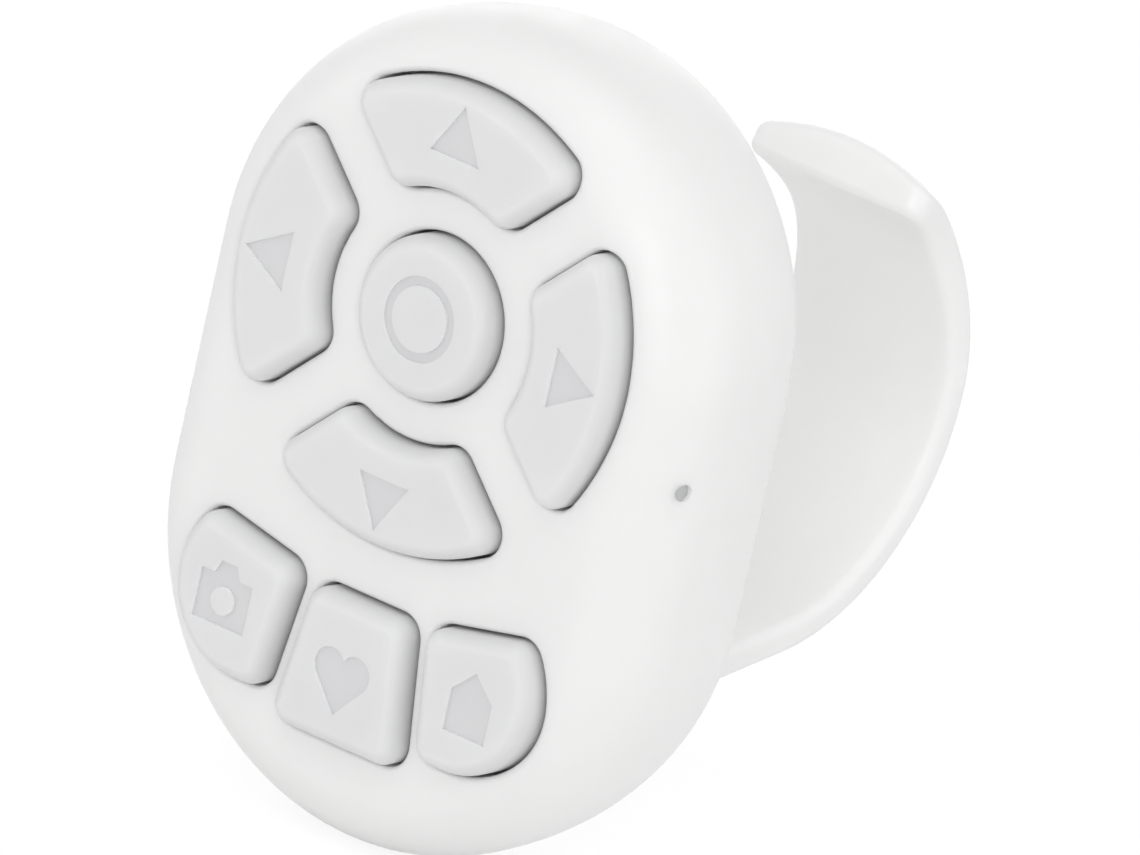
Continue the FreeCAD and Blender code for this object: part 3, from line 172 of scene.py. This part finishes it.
class MaterialGraph(NodeGraph):
    """The node graph of one material."""

    def __init__(self, name: str) -> None:
        """Starts an empty graph with its output.

        Args:
            name: The material's name.
        """
        self.material = bpy.data.materials.new(name)
        self.material.use_nodes = True
        super().__init__(self.material.node_tree, "OutputMaterial")

    def object_place(self, stretch: tuple[float, float, float]) -> bpy.types.NodeSocket:
        """The place on the object, in metres, stretched along the axes.

        Args:
            stretch: How much each axis counts.

        Returns:
            The vector socket.
        """
        coordinates = self.add("TexCoord")
        mapping = self.add("Mapping", Scale=stretch)
        self.link(coordinates.outputs["Object"], mapping.inputs["Vector"])
        return mapping.outputs["Vector"]

    def noise(self, place: bpy.types.NodeSocket, size: float, detail: float) -> bpy.types.NodeSocket:
        """Soft noise whose features have a real size.

        Args:
            place: Where the noise is read.
            size: The features' size in metres.
            detail: How many finer layers it has.

        Returns:
            The noise value, from 0 to 1.
        """
        node = self.add("TexNoise", Scale=1 / size, Detail=detail)
        self.link(place, node.inputs["Vector"])
        return node.outputs["Fac"]

    def cells(self, place: bpy.types.NodeSocket, size: float) -> bpy.types.NodeSocket:
        """Distance to the nearest of many scattered points, for foam and cast grain.

        Args:
            place: Where the distance is read.
            size: The cells' size in metres.

        Returns:
            The distance value.
        """
        node = self.add("TexVoronoi", Scale=1 / size)
        self.link(place, node.inputs["Vector"])
        return node.outputs["Distance"]

    def spread(self, value: bpy.types.NodeSocket, low: float, high: float) -> bpy.types.NodeSocket:
        """Maps the middle part of a noise onto a range.

        Args:
            value: The noise.
            low: What its low end becomes.
            high: What its high end becomes.

        Returns:
            The mapped value.
        """
        node = self.add("MapRange", From_Min=NOISE_LOW, From_Max=NOISE_HIGH, To_Min=low, To_Max=high)
        self.link(value, node.inputs["Value"])
        return node.outputs["Result"]

    def blend(self, amount: bpy.types.NodeSocket, first: tuple, second: tuple) -> bpy.types.NodeSocket:
        """Mixes two colours by an amount that varies over the surface.

        Args:
            amount: The second colour's share.
            first: The first colour.
            second: The second colour.

        Returns:
            The mixed colour.
        """
        node = self.add("Mix")
        node.data_type = "RGBA"
        colour_inputs = [socket for socket in node.inputs if socket.type == "RGBA"]
        colour_inputs[0].default_value = (*first, 1)
        colour_inputs[1].default_value = (*second, 1)
        self.link(amount, node.inputs["Factor"])
        return next(socket for socket in node.outputs if socket.type == "RGBA")

    def darken(self, colour: bpy.types.NodeSocket, share: bpy.types.NodeSocket) -> bpy.types.NodeSocket:
        """Scales a colour by a share that varies over the surface.

        Args:
            colour: The colour.
            share: How much of it stays.

        Returns:
            The scaled colour.
        """
        node = self.add("VectorMath")
        node.operation = "SCALE"
        self.link(colour, node.inputs["Vector"])
        self.link(share, node.inputs["Scale"])
        return node.outputs["Vector"]


@dataclass(frozen=True)
class Finish:
    """A surface's colour, gloss and fine relief.

    Attributes:
        name: The material's name.
        light: Its colour where it is lightest.
        dark: Its colour where handling or moulding leaves it darkest.
        smooth: Roughness where it is smoothest.
        rough: Roughness where it is roughest.
        grain: How its relief is patterned.
        grain_size: Size of the relief's features in metres.
        grain_depth: Depth of the relief in metres.
        patch_size: Size of the patches of colour and gloss in metres.
        metallic: 1 for bare metal.
        clear: How much light passes through.
        glow: Share of light that spreads under the surface.
        glow_reach: How far that light spreads, in metres.
        stretch: How much each axis counts in the relief.
    """

    name: str
    light: tuple[float, float, float]
    dark: tuple[float, float, float]
    smooth: float
    rough: float
    grain: Grain = Grain.FINE
    grain_size: float = 0.12 * MM
    grain_depth: float = 0.004 * MM
    patch_size: float = 7 * MM
    metallic: float = 0.0
    clear: float = 0.0
    glow: float = 0.0
    glow_reach: float = 0.5 * MM
    stretch: tuple[float, float, float] = (1, 1, 1)

    def material(self) -> bpy.types.Material:
        """The finish as a material, made once.

        Returns:
            The material.
        """
        made = bpy.data.materials.get(self.name)
        if made:
            return made
        graph = MaterialGraph(self.name)
        even = graph.object_place((1, 1, 1))
        directed = graph.object_place(self.stretch)
        shader = graph.add(
            "BsdfPrincipled",
            Metallic=self.metallic,
            Transmission_Weight=self.clear,
            Subsurface_Weight=self.glow,
            Subsurface_Scale=self.glow_reach,
            Subsurface_Radius=(1, 1, 1),
        )
        graph.link(self.colour(graph, even), shader.inputs["Base Color"])
        gloss = graph.noise(directed, self.patch_size * GLOSS_PATCH, GLOSS_LAYERS)
        graph.link(graph.spread(gloss, self.smooth, self.rough), shader.inputs["Roughness"])
        if self.grain is Grain.CELLS:
            relief = graph.cells(directed, self.grain_size)
        else:
            relief = graph.noise(directed, self.grain_size, RELIEF_LAYERS)
        bump = graph.add("Bump", Strength=RELIEF_STRENGTH, Distance=self.grain_depth)
        graph.link(relief, bump.inputs["Height"])
        graph.link(bump.outputs["Normal"], shader.inputs["Normal"])
        graph.link(shader.outputs["BSDF"], graph.output.inputs["Surface"])
        return graph.material

    def colour(self, graph: MaterialGraph, place: bpy.types.NodeSocket) -> bpy.types.NodeSocket:
        """The colour, a little lighter and darker in soft patches.

        Args:
            graph: The material under work.
            place: The place on the object.

        Returns:
            The colour socket.
        """
        patches = graph.spread(graph.noise(place, self.patch_size, PATCH_LAYERS), 0, 1)
        return graph.blend(patches, self.light, self.dark)


@dataclass(frozen=True)
class PaintedShadeKeyFinish(Finish):
    """Moulded grey silicone whose colour carries painted shade, darkening down the sides of a key below
    its top.

    Attributes:
        top: Place of the key tops along Y.
        start: How far below the top the painted shade begins.
        reach: How far below the top it ends.
        fall: How quickly the painted shade deepens at first, under 1 for quickly.
        foot: Colour at the bottom of the painted shade, as a share of the top's.
    """

    top: float = -27.0 * MM
    start: float = 0.03 * MM
    reach: float = 1.1 * MM
    fall: float = 0.6
    foot: float = 0.81

    def colour(self, graph: MaterialGraph, place: bpy.types.NodeSocket) -> bpy.types.NodeSocket:
        """The top's colour, with painted shade darker down the sides.

        Args:
            graph: The material under work.
            place: The place on the object.

        Returns:
            The colour socket.
        """
        parts = graph.add("SeparateXYZ")
        graph.link(place, parts.inputs["Vector"])
        # painted shade: the colour darkens with depth below the key tops, standing in for shade on the key
        # walls and in the gaps
        depth = graph.add("MapRange", From_Min=self.top + self.start, From_Max=self.top + self.reach)
        graph.link(parts.outputs["Y"], depth.inputs["Value"])
        eased = graph.compute("POWER", depth.outputs["Result"], self.fall)
        share = graph.add("MapRange", To_Min=1, To_Max=self.foot)
        graph.link(eased, share.inputs["Value"])
        return graph.darken(super().colour(graph, place), share.outputs["Result"])


ALONG_X = (0.04, 1, 1)
SHELL = Finish("satin_white_shell", (0.905, 0.905, 0.9), (0.885, 0.885, 0.88), 0.36, 0.46,
               glow=0.6, glow_reach=0.8 * MM)
# the key's finish paints shade down the sides of each key
KEY = PaintedShadeKeyFinish("grey_key_painted_shade", (0.81, 0.81, 0.816), (0.79, 0.79, 0.797), 0.5, 0.62,
                glow=0.8, glow_reach=0.9 * MM)
MARK = Finish("printed_grey_mark", (0.718, 0.718, 0.728), (0.694, 0.694, 0.706), 0.5, 0.66)
KNOB = Finish("grey_slide_knob", (0.6, 0.6, 0.61), (0.56, 0.56, 0.57), 0.4, 0.55)
MAT = Finish("milky_silicone_mat", (0.85, 0.85, 0.83), (0.8, 0.8, 0.77), 0.55, 0.7, glow=0.2)
BOARD = Finish("green_solder_mask", (0.03, 0.2, 0.1), (0.012, 0.11, 0.05), 0.25, 0.4, patch_size=1.6 * MM)
PLATED = Finish("plated_sheet_metal", (0.76, 0.76, 0.77), (0.66, 0.66, 0.67), 0.2, 0.36,
                Grain.FINE, 0.05 * MM, 0.002 * MM, 3 * MM, metallic=1, stretch=ALONG_X)
STEEL = Finish("turned_screw_steel", (0.56, 0.56, 0.57), (0.44, 0.44, 0.45), 0.24, 0.4,
               Grain.FINE, 0.04 * MM, 0.003 * MM, 1 * MM, metallic=1, stretch=ALONG_X)
GOLD = Finish("gold_plated_contact", (0.95, 0.72, 0.32), (0.85, 0.6, 0.24), 0.18, 0.3,
              Grain.FINE, 0.03 * MM, 0.001 * MM, 1 * MM, metallic=1)
BLACK = Finish("black_moulded_plastic", (0.03, 0.03, 0.03), (0.018, 0.018, 0.018), 0.45, 0.65)
CERAMIC = Finish("fired_ceramic", (0.55, 0.47, 0.36), (0.42, 0.35, 0.26), 0.5, 0.7, Grain.CELLS, 0.08 * MM)
LAMP = Finish("lamp_resin", (0.9, 0.88, 0.7), (0.84, 0.8, 0.58), 0.12, 0.22, clear=0.3)
CLEAR = Finish("frosted_light_pipe", (0.8, 0.81, 0.82), (0.74, 0.75, 0.76), 0.3, 0.42, clear=0.35)
FOIL = Finish("cell_foil", (0.72, 0.73, 0.75), (0.6, 0.61, 0.63), 0.28, 0.42,
              Grain.CELLS, 1.2 * MM, 0.05 * MM, 4 * MM, metallic=1)
FOAM = Finish("black_foam_tape", (0.12, 0.12, 0.12), (0.06, 0.06, 0.06), 0.8, 0.95,
              Grain.CELLS, 0.25 * MM, 0.08 * MM)
SLEEVE = Finish("red_lead_sleeve", (0.55, 0.04, 0.03), (0.42, 0.025, 0.02), 0.35, 0.5)


def body_of_node(node: str) -> str:
    """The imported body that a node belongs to.

    Args:
        node: The node's name.

    Returns:
        The body's name.
    """
    bodies = frame["record"]["behaviour"]["bodies"]
    return next(body for body, members in bodies.items() if node in members)


def link_piece(mesh: bpy.types.Mesh, name: str, body: str) -> bpy.types.Object:
    """Puts a mesh in the scene as a piece that rides on a body.

    Args:
        mesh: The finished mesh, with its place in it.
        name: The piece's name.
        body: The body that carries it.

    Returns:
        The piece.
    """
    piece = bpy.data.objects.new(name, mesh)
    bpy.context.scene.collection.objects.link(piece)
    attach(piece, body)
    log.info("%s rides on %s: %d faces", name, body, len(mesh.polygons))
    return piece


@dataclass
class SmoothPart:
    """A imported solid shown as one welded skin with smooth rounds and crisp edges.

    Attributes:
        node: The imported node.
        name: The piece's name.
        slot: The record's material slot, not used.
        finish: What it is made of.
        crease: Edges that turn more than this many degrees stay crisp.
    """

    node: str
    name: str
    slot: str
    finish: Finish
    crease: float = 32.0

    def skin(self) -> bmesh.types.BMesh:
        """The node's triangles, welded, with smooth faces and crisp creases.

        Returns:
            The mesh under work.
        """
        work = bmesh.new()
        work.from_mesh(frame["nodes"][self.node].data)
        bmesh.ops.remove_doubles(work, verts=work.verts, dist=WELD)
        for face in work.faces:
            face.smooth = True
            face.material_index = 0
        for edge in work.edges:
            edge.smooth = len(edge.link_faces) == 2 and edge.calc_face_angle() < math.radians(self.crease)
        return work

    def build(self) -> bpy.types.Object:
        """Makes the piece and hides the node that it stands for.

        Returns:
            The piece.
        """
        work = self.skin()
        mesh = bpy.data.meshes.new(self.name)
        self.paint(work, mesh)
        work.to_mesh(mesh)
        work.free()
        piece = link_piece(mesh, self.name, body_of_node(self.node))
        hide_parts(self.node)
        shading = piece.modifiers.new("even_shading", "WEIGHTED_NORMAL")
        shading.keep_sharp = True
        return piece

    def paint(self, work: bmesh.types.BMesh, mesh: bpy.types.Mesh) -> None:
        """Gives the whole skin its finish."""
        mesh.materials.append(self.finish.material())


@dataclass
class KeyCap(SmoothPart):
    """A soft key whose sunk mark is printed darker.

    Attributes:
        mark_depth: Depth of the mark's floor below the key's top.
        level: How near to that depth a face of the floor lies.
        square: How squarely a face of the floor looks out of the key, 1 for exactly.
    """

    mark_depth: float = 0.15 * MM
    level: float = 0.01 * MM
    square: float = 0.99

    def paint(self, work: bmesh.types.BMesh, mesh: bpy.types.Mesh) -> None:
        """Prints the mark's floor and leaves the rest of the key plain.

        Args:
            work: The mesh under work.
            mesh: The mesh that gets the materials.
        """
        mesh.materials.append(self.finish.material())
        mesh.materials.append(MARK.material())
        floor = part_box(self.node)[0].y + self.mark_depth
        for face in work.faces:
            if face.normal.y < -self.square and abs(face.calc_center_median().y - floor) < self.level:
                face.material_index = 1


@dataclass
class Keypad:
    """The eight keys and the mat that they press."""

    names: tuple[str, ...] = ("up", "right", "down", "left", "camera", "heart", "home", "centre")

    def build(self) -> None:
        """Makes each key and the mat."""
        for name in self.names:
            KeyCap(f"key_{name}", f"{name}_key_cap", "grey_key", KEY).build()
        SmoothPart("keypad_membrane", "keypad_mat", "mat_silicone", MAT).build()


@dataclass
class CrossScrew:
    """A pan-head screw with a cross recess, built along +Z with its head's seat at the origin.

    Attributes:
        head_radius: Radius of the head.
        head_height: Height of the head.
        shaft_radius: Radius over the thread.
        length: Length under the head.
        pitch: Rise of the thread in one turn.
        flat_share: Share of the head's radius that its flat top takes up.
        shoulder: The head's round edge at its middle, as shares of the radius and the height.
        side_share: Share of the head's height that its straight side takes up.
        root_share: Radius at the bottom of the thread, as a share of the shaft's.
        arm: Half length of the recess's cross.
        arm_half: Half width of an arm of the cross.
        recess_depth: Depth of the recess.
        recess_taper: Size of the recess's floor, as a share of its mouth's.
        segments: Sides of the round forms.
    """

    head_radius: float
    head_height: float
    shaft_radius: float
    length: float
    pitch: float = 0.4 * MM
    flat_share: float = 0.74
    shoulder: tuple[float, float] = (0.93, 0.86)
    side_share: float = 0.6
    root_share: float = 0.8
    arm: float = 0.5 * MM
    arm_half: float = 0.12 * MM
    recess_depth: float = 0.35 * MM
    recess_taper: float = 0.7
    segments: int = 32

    def profile(self) -> list[Vector]:
        """The screw's outline from the head's flat to the tip.

        Returns:
            Places in the XZ plane.
        """
        points = [
            Vector((self.head_radius * self.flat_share, 0, self.head_height)),
            Vector((self.head_radius * self.shoulder[0], 0, self.head_height * self.shoulder[1])),
            Vector((self.head_radius, 0, self.head_height * self.side_share)),
            Vector((self.head_radius, 0, 0)),
            Vector((self.shaft_radius, 0, 0)),
        ]
        root = self.shaft_radius * self.root_share
        turns = int(self.length / self.pitch) - 1
        for turn in range(turns):
            low = -self.pitch * (turn + 1)
            points.append(Vector((root, 0, low + self.pitch / 2)))
            points.append(Vector((self.shaft_radius, 0, low)))
        points.append(Vector((0, 0, -self.length)))
        return points

    def add_to(self, work: bmesh.types.BMesh, place: Matrix) -> None:
        """Builds one screw and moves it to its place.

        Args:
            work: The mesh that takes the screw.
            place: Where it goes.
        """
        before = set(work.verts)
        outline = [work.verts.new(point) for point in self.profile()]
        lines = [work.edges.new(pair) for pair in zip(outline, outline[1:])]
        bmesh.ops.spin(
            work, geom=outline + lines, cent=(0, 0, 0), axis=(0, 0, 1), angle=math.tau,
            steps=self.segments, use_merge=True,
        )
        fresh = [vertex for vertex in work.verts if vertex not in before]
        bmesh.ops.remove_doubles(work, verts=fresh, dist=WELD)
        fresh = [vertex for vertex in work.verts if vertex not in before]
        rim = {edge for vertex in fresh for edge in vertex.link_edges if edge.is_boundary}
        cross = self.cross_edges(work)
        bmesh.ops.triangle_fill(work, use_beauty=True, edges=list(rim) + cross)
        self.sink(work, cross)
        fresh = [vertex for vertex in work.verts if vertex not in before]
        bmesh.ops.transform(work, matrix=place, verts=fresh)
        faces = {face for vertex in fresh for face in vertex.link_faces}
        bmesh.ops.recalc_face_normals(work, faces=list(faces))

    def cross_edges(self, work: bmesh.types.BMesh) -> list[bmesh.types.BMEdge]:
        """The recess's outline on the head's flat.

        Args:
            work: The mesh that takes it.

        Returns:
            Its edges, in order.
        """
        corner, tip = self.arm_half, self.arm
        quarter = [(tip, -corner), (tip, corner), (corner, corner)]
        turns = [Matrix.Rotation(math.radians(90 * turn), 2) for turn in range(4)]
        spots = [turned @ Vector(spot) for turned in turns for spot in quarter]
        verts = [work.verts.new((spot.x, spot.y, self.head_height)) for spot in spots]
        return [work.edges.new(pair) for pair in zip(verts, verts[1:] + verts[:1])]

    def sink(self, work: bmesh.types.BMesh, cross: list[bmesh.types.BMEdge]) -> None:
        """Draws the recess down from its outline and closes its floor.

        Args:
            work: The mesh under work.
            cross: The outline's edges.
        """
        walls = bmesh.ops.extrude_edge_only(work, edges=cross)["geom"]
        low = [item for item in walls if isinstance(item, bmesh.types.BMVert)]
        bmesh.ops.translate(work, verts=low, vec=(0, 0, -self.recess_depth))
        bmesh.ops.scale(work, verts=low, vec=(self.recess_taper, self.recess_taper, 1))
        floor = [item for item in walls if isinstance(item, bmesh.types.BMEdge) and item.is_boundary]
        bmesh.ops.triangle_fill(work, use_beauty=True, edges=floor)


@dataclass
class ScrewSet:
    """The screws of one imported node, each built afresh where the solid is.

    Attributes:
        node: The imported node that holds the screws' solids.
        name: The piece's name.
        head_height: Height of a head.
        shaft_radius: Radius of a shaft.
        head_to_back: True where the heads look to +Y.
        crease: Edges that turn more than this many degrees stay crisp.
    """

    node: str
    name: str
    head_height: float = 0.7 * MM
    shaft_radius: float = 0.5 * MM
    head_to_back: bool = True
    crease: float = 30.0

    def solid_boxes(self) -> list[tuple[Vector, Vector]]:
        """The corners of the box round each of the node's separate solids.

        Returns:
            Lowest and highest corners.
        """
        work = bmesh.new()
        work.from_mesh(frame["nodes"][self.node].data)
        bmesh.ops.remove_doubles(work, verts=work.verts, dist=WELD)
        left, boxes = set(work.verts), []
        while left:
            island, reached = set(), [left.pop()]
            while reached:
                vertex = reached.pop()
                island.add(vertex)
                near = {edge.other_vert(vertex) for edge in vertex.link_edges} & left
                left -= near
                reached.extend(near)
            low = Vector(min(vertex.co[axis] for vertex in island) for axis in range(3))
            high = Vector(max(vertex.co[axis] for vertex in island) for axis in range(3))
            boxes.append((low, high))
        work.free()
        return boxes

    def build(self) -> bpy.types.Object:
        """Makes the screws as one piece.

        Returns:
            The piece.
        """
        work = bmesh.new()
        facing = -1 if self.head_to_back else 1
        for low, high in self.solid_boxes():
            middle = (low + high) / 2
            seat = high.y - self.head_height if self.head_to_back else low.y + self.head_height
            turned = Matrix.Rotation(math.radians(90 * facing), 4, "X")
            place = Matrix.Translation((middle.x, seat, middle.z)) @ turned
            radius, length = (high.x - low.x) / 2, high.y - low.y - self.head_height
            CrossScrew(radius, self.head_height, self.shaft_radius, length).add_to(work, place)
        for face in work.faces:
            face.smooth = True
        for edge in work.edges:
            edge.smooth = len(edge.link_faces) == 2 and edge.calc_face_angle() < math.radians(self.crease)
        mesh = bpy.data.meshes.new(self.name)
        mesh.materials.append(STEEL.material())
        work.to_mesh(mesh)
        work.free()
        piece = link_piece(mesh, self.name, body_of_node(self.node))
        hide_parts(self.node)
        return piece


@dataclass
class Housing:
    """The two shells, the light pipe and the screws that hold the back on."""

    def build(self) -> None:
        """Makes the housing's pieces."""
        SmoothPart("front_shell", "front_casing", "white_shell", SHELL).build()
        SmoothPart("rear_cover", "back_cover", "white_shell", SHELL).build()
        SmoothPart("light_pipe", "indicator_window", "clear_plastic", CLEAR).build()
        ScrewSet("cover_screws", "back_cover_screws").build()


@dataclass
class FingerLoop:
    """The open band and the two screws that hold its foot inside the cover."""

    def build(self) -> None:
        """Makes the band's pieces."""
        SmoothPart("finger_band", "finger_loop", "white_shell", SHELL).build()
        ScrewSet("band_screws", "loop_foot_screws", head_to_back=False).build()


@dataclass
class ChargingSocket:
    """The socket's shell and its tongue with two rows of contacts.

    Attributes:
        contacts: Contacts in a row.
        pitch: Distance between two contacts.
        width: Width of a contact.
        length: Length of a contact.
        thickness: How far a contact stands proud.
        setback: Contact's end inside the tongue's.
    """

    contacts: int = 12
    pitch: float = 0.5 * MM
    width: float = 0.25 * MM
    length: float = 3.2 * MM
    thickness: float = 0.02 * MM
    setback: float = 0.5 * MM

    def build(self) -> None:
        """Makes the shell, the tongue and the contacts."""
        SmoothPart("usb_shell", "socket_shell", "plated_metal", PLATED).build()
        SmoothPart("usb_tongue", "socket_tongue", "black_plastic", BLACK).build()
        self.build_contacts()

    def build_contacts(self) -> bpy.types.Object:
        """Lays the contacts on both faces of the tongue.

        Returns:
            The contacts as one piece.
        """
        low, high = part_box("usb_tongue")
        work = bmesh.new()
        middle = (self.contacts - 1) / 2
        for face_y in (low.y, high.y):
            for number in range(self.contacts):
                z = low.z + self.setback + self.length / 2
                place = Matrix.Translation(((number - middle) * self.pitch, face_y, z))
                size = Matrix.Diagonal((self.width, self.thickness * 2, self.length, 1))
                bmesh.ops.create_cube(work, size=1, matrix=place @ size)
        mesh = bpy.data.meshes.new("socket_contacts")
        mesh.materials.append(GOLD.material())
        work.to_mesh(mesh)
        work.free()
        return link_piece(mesh, "socket_contacts", body_of_node("usb_tongue"))


@dataclass
class PowerSwitch:
    """The slide switch on the board and its knob in the flank."""

    def build(self) -> None:
        """Makes the switch's pieces."""
        SmoothPart("power_switch_body", "switch_case", "plated_metal", PLATED).build()
        SmoothPart("power_switch_knob", "switch_knob", "grey_knob", KNOB).build()


@dataclass
class Electronics:
    """The board and what it carries, which the housing hides."""

    parts: tuple[tuple[str, str, str, Finish], ...] = (
        ("circuit_board", "remote_board", "board", BOARD),
        ("battery", "flat_cell", "cell_foil", FOIL),
        ("battery_leads", "cell_leads", "lead_sleeve", SLEEVE),
        ("dome_switches", "snap_domes", "plated_metal", PLATED),
    )
    plain: tuple[tuple[str, Finish], ...] = (
        ("small_components", CERAMIC),
        ("indicator_led", LAMP),
        ("radio_chip", BLACK),
        ("crystal", PLATED),
        ("charging_chip", BLACK),
        ("chip_antenna", CERAMIC),
        ("battery_pad", FOAM),
    )

    def build(self) -> None:
        """Smooths the round parts and finishes the square ones."""
        for node, name, slot, finish in self.parts:
            SmoothPart(node, name, slot, finish).build()
        for node, finish in self.plain:
            solid = frame["nodes"][node]
            solid.data.materials.clear()
            solid.data.materials.append(finish.material())
            log.info("%s keeps its solid and is finished as %s", node, finish.name)


@dataclass
class SoftLight:
    """A square lamp that looks at the object.

    Attributes:
        name: The lamp's name.
        azimuth: Its direction round the object, 0 in front of the face and 90 on the right.
        elevation: Its height above the horizon in degrees.
        power: Its power in watts.
        side: Its side in metres.
        distance: Its distance in metres.
    """

    name: str
    azimuth: float
    elevation: float
    power: float
    side: float = 0.6
    distance: float = 0.7

    def build(self, target: Vector) -> None:
        """Hangs the lamp and turns it to the object.

        Args:
            target: The middle of the object.
        """
        lamp = bpy.data.lights.new(self.name, "AREA")
        lamp.shape = "SQUARE"
        lamp.size = self.side
        lamp.energy = self.power
        holder = bpy.data.objects.new(self.name, lamp)
        away = direction(self.azimuth, self.elevation)
        holder.location = target + away * self.distance
        holder.rotation_euler = away.to_track_quat("Z", "Y").to_euler()
        bpy.context.scene.collection.objects.link(holder)


def direction(azimuth: float, elevation: float) -> Vector:
    """The direction from the object towards a viewer.

    Args:
        azimuth: 0 in front of the face and 90 on the right, in degrees.
        elevation: Above the horizon, in degrees.

    Returns:
        A unit vector.
    """
    turned, raised = math.radians(azimuth), math.radians(elevation)
    level = math.cos(raised)
    return Vector((math.sin(turned) * level, -math.cos(turned) * level, math.sin(raised)))


@dataclass
class Studio:
    """The camera at the photograph's angle, soft lamps, a white surround and a pale floor.

    Attributes:
        azimuth: The camera's direction round the object in degrees.
        elevation: Its height above the horizon in degrees.
        roll: How far it is rolled, which leans the object over in the picture.
        lens: Its focal length in millimetres, long because the photograph shows almost no perspective.
        sensor: Width of its film in millimetres.
        view_width: Width of the picture at the object.
        aim: The place at the picture's centre.
        far: How far the camera sees, in metres.
        floor_radius: Radius of the floor.
        floor_sides: Sides of the floor's round edge.
        floor_gap: Height of the object above the floor.
        floor_colour: Colour of the floor.
        floor_white: Share of plain white in the floor where it is seen.
        floor_strength: Brightness of that white.
        surround: Brightness of the room.
    """

    azimuth: float = 34.35
    elevation: float = 16.84
    roll: float = 12.48
    lens: float = 1200.0
    sensor: float = 36.0
    view_width: float = 54.78 * MM
    aim: tuple[float, float, float] = (2.88 * MM, -16.72 * MM, 0.79 * MM)
    far: float = 10.0
    floor_radius: float = 4.0
    floor_sides: int = 64
    floor_gap: float = 0.02 * MM
    floor_colour: tuple[float, float, float, float] = (0.92, 0.92, 0.92, 1)
    floor_white: float = 0.8
    floor_strength: float = 1.08
    surround: float = 0.575

    def build(self) -> None:
        """Makes the camera, the lamps, the surround and the floor."""
        self.build_camera()
        self.build_surround()
        self.build_floor()
        middle = (SOLIDS_BOX[0] + SOLIDS_BOX[1]) / 2
        lamps = (
            SoftLight("front_lamp", 34, 17, 1.04, side=0.25),
            SoftLight("left_lamp", -40, 0, 0.76),
            SoftLight("right_rear_lamp", 112, 5, 0.95),
            SoftLight("left_rear_lamp", -140, 10, 0.9),
            SoftLight("top_lamp", 20, 75, 0.95),
        )
        for lamp in lamps:
            lamp.build(middle)
        bpy.context.scene.view_settings.view_transform = "Standard"

    def build_camera(self) -> None:
        """Hangs the camera so that the picture is as wide as the photograph's."""
        camera = bpy.data.cameras.new("studio_camera")
        camera.lens = self.lens
        camera.sensor_width = self.sensor
        camera.clip_end = self.far
        holder = bpy.data.objects.new("studio_camera", camera)
        away = direction(self.azimuth, self.elevation)
        distance = self.view_width * self.lens / self.sensor
        level = away.to_track_quat("Z", "Y").to_matrix().to_4x4()
        rolled = level @ Matrix.Rotation(math.radians(self.roll), 4, "Z")
        holder.matrix_world = Matrix.Translation(Vector(self.aim) + away * distance) @ rolled
        bpy.context.scene.collection.objects.link(holder)
        bpy.context.scene.camera = holder

    def build_surround(self) -> None:
        """A room that lights the object softly and shows as white."""
        world = bpy.data.worlds.new("white_room")
        bpy.context.scene.world = world
        world.use_nodes = True
        graph = NodeGraph(world.node_tree, "OutputWorld")
        light = graph.add("Background", Color=WHITE, Strength=self.surround)
        white = graph.add("Background", Color=WHITE)
        shown = graph.mix_shaders(graph.background_rays(), light.outputs[0], white.outputs[0])
        graph.link(shown, graph.output.inputs["Surface"])

    def build_floor(self) -> None:
        """A pale floor under the housing's end, seen as white and open from below."""
        work = bmesh.new()
        bmesh.ops.create_circle(work, cap_ends=True, radius=self.floor_radius, segments=self.floor_sides)
        bmesh.ops.translate(work, verts=work.verts, vec=(0, 0, SOLIDS_BOX[0].z - self.floor_gap))
        mesh = bpy.data.meshes.new("studio_floor")
        work.to_mesh(mesh)
        work.free()
        mesh.materials.append(self.floor_material())
        floor = bpy.data.objects.new("studio_floor", mesh)
        bpy.context.scene.collection.objects.link(floor)

    def floor_material(self) -> bpy.types.Material:
        """White where it is seen, with the object's shadow kept.

        Returns:
            The material.
        """
        graph = MaterialGraph("pale_floor")
        share = graph.compute("MULTIPLY", graph.background_rays(), self.floor_white)
        cloth = graph.add("BsdfDiffuse", Color=self.floor_colour)
        lit = graph.add("Emission", Color=WHITE, Strength=self.floor_strength)
        top = graph.mix_shaders(share, cloth.outputs[0], lit.outputs[0])
        below = graph.add("NewGeometry").outputs["Backfacing"]
        clear = graph.add("BsdfTransparent")
        graph.link(graph.mix_shaders(below, top, clear.outputs[0]), graph.output.inputs["Surface"])
        return graph.material


def main() -> None:
    """Builds every sub-assembly and the studio, in order."""
    logging.basicConfig(level=logging.INFO, format="%(message)s")
    for assembly in (Housing(), FingerLoop(), Keypad(), PowerSwitch(), ChargingSocket(), Electronics()):
        assembly.build()
        log.info("%s is built", type(assembly).__name__)
    Studio().build()


if __name__ == "__main__":
    main()
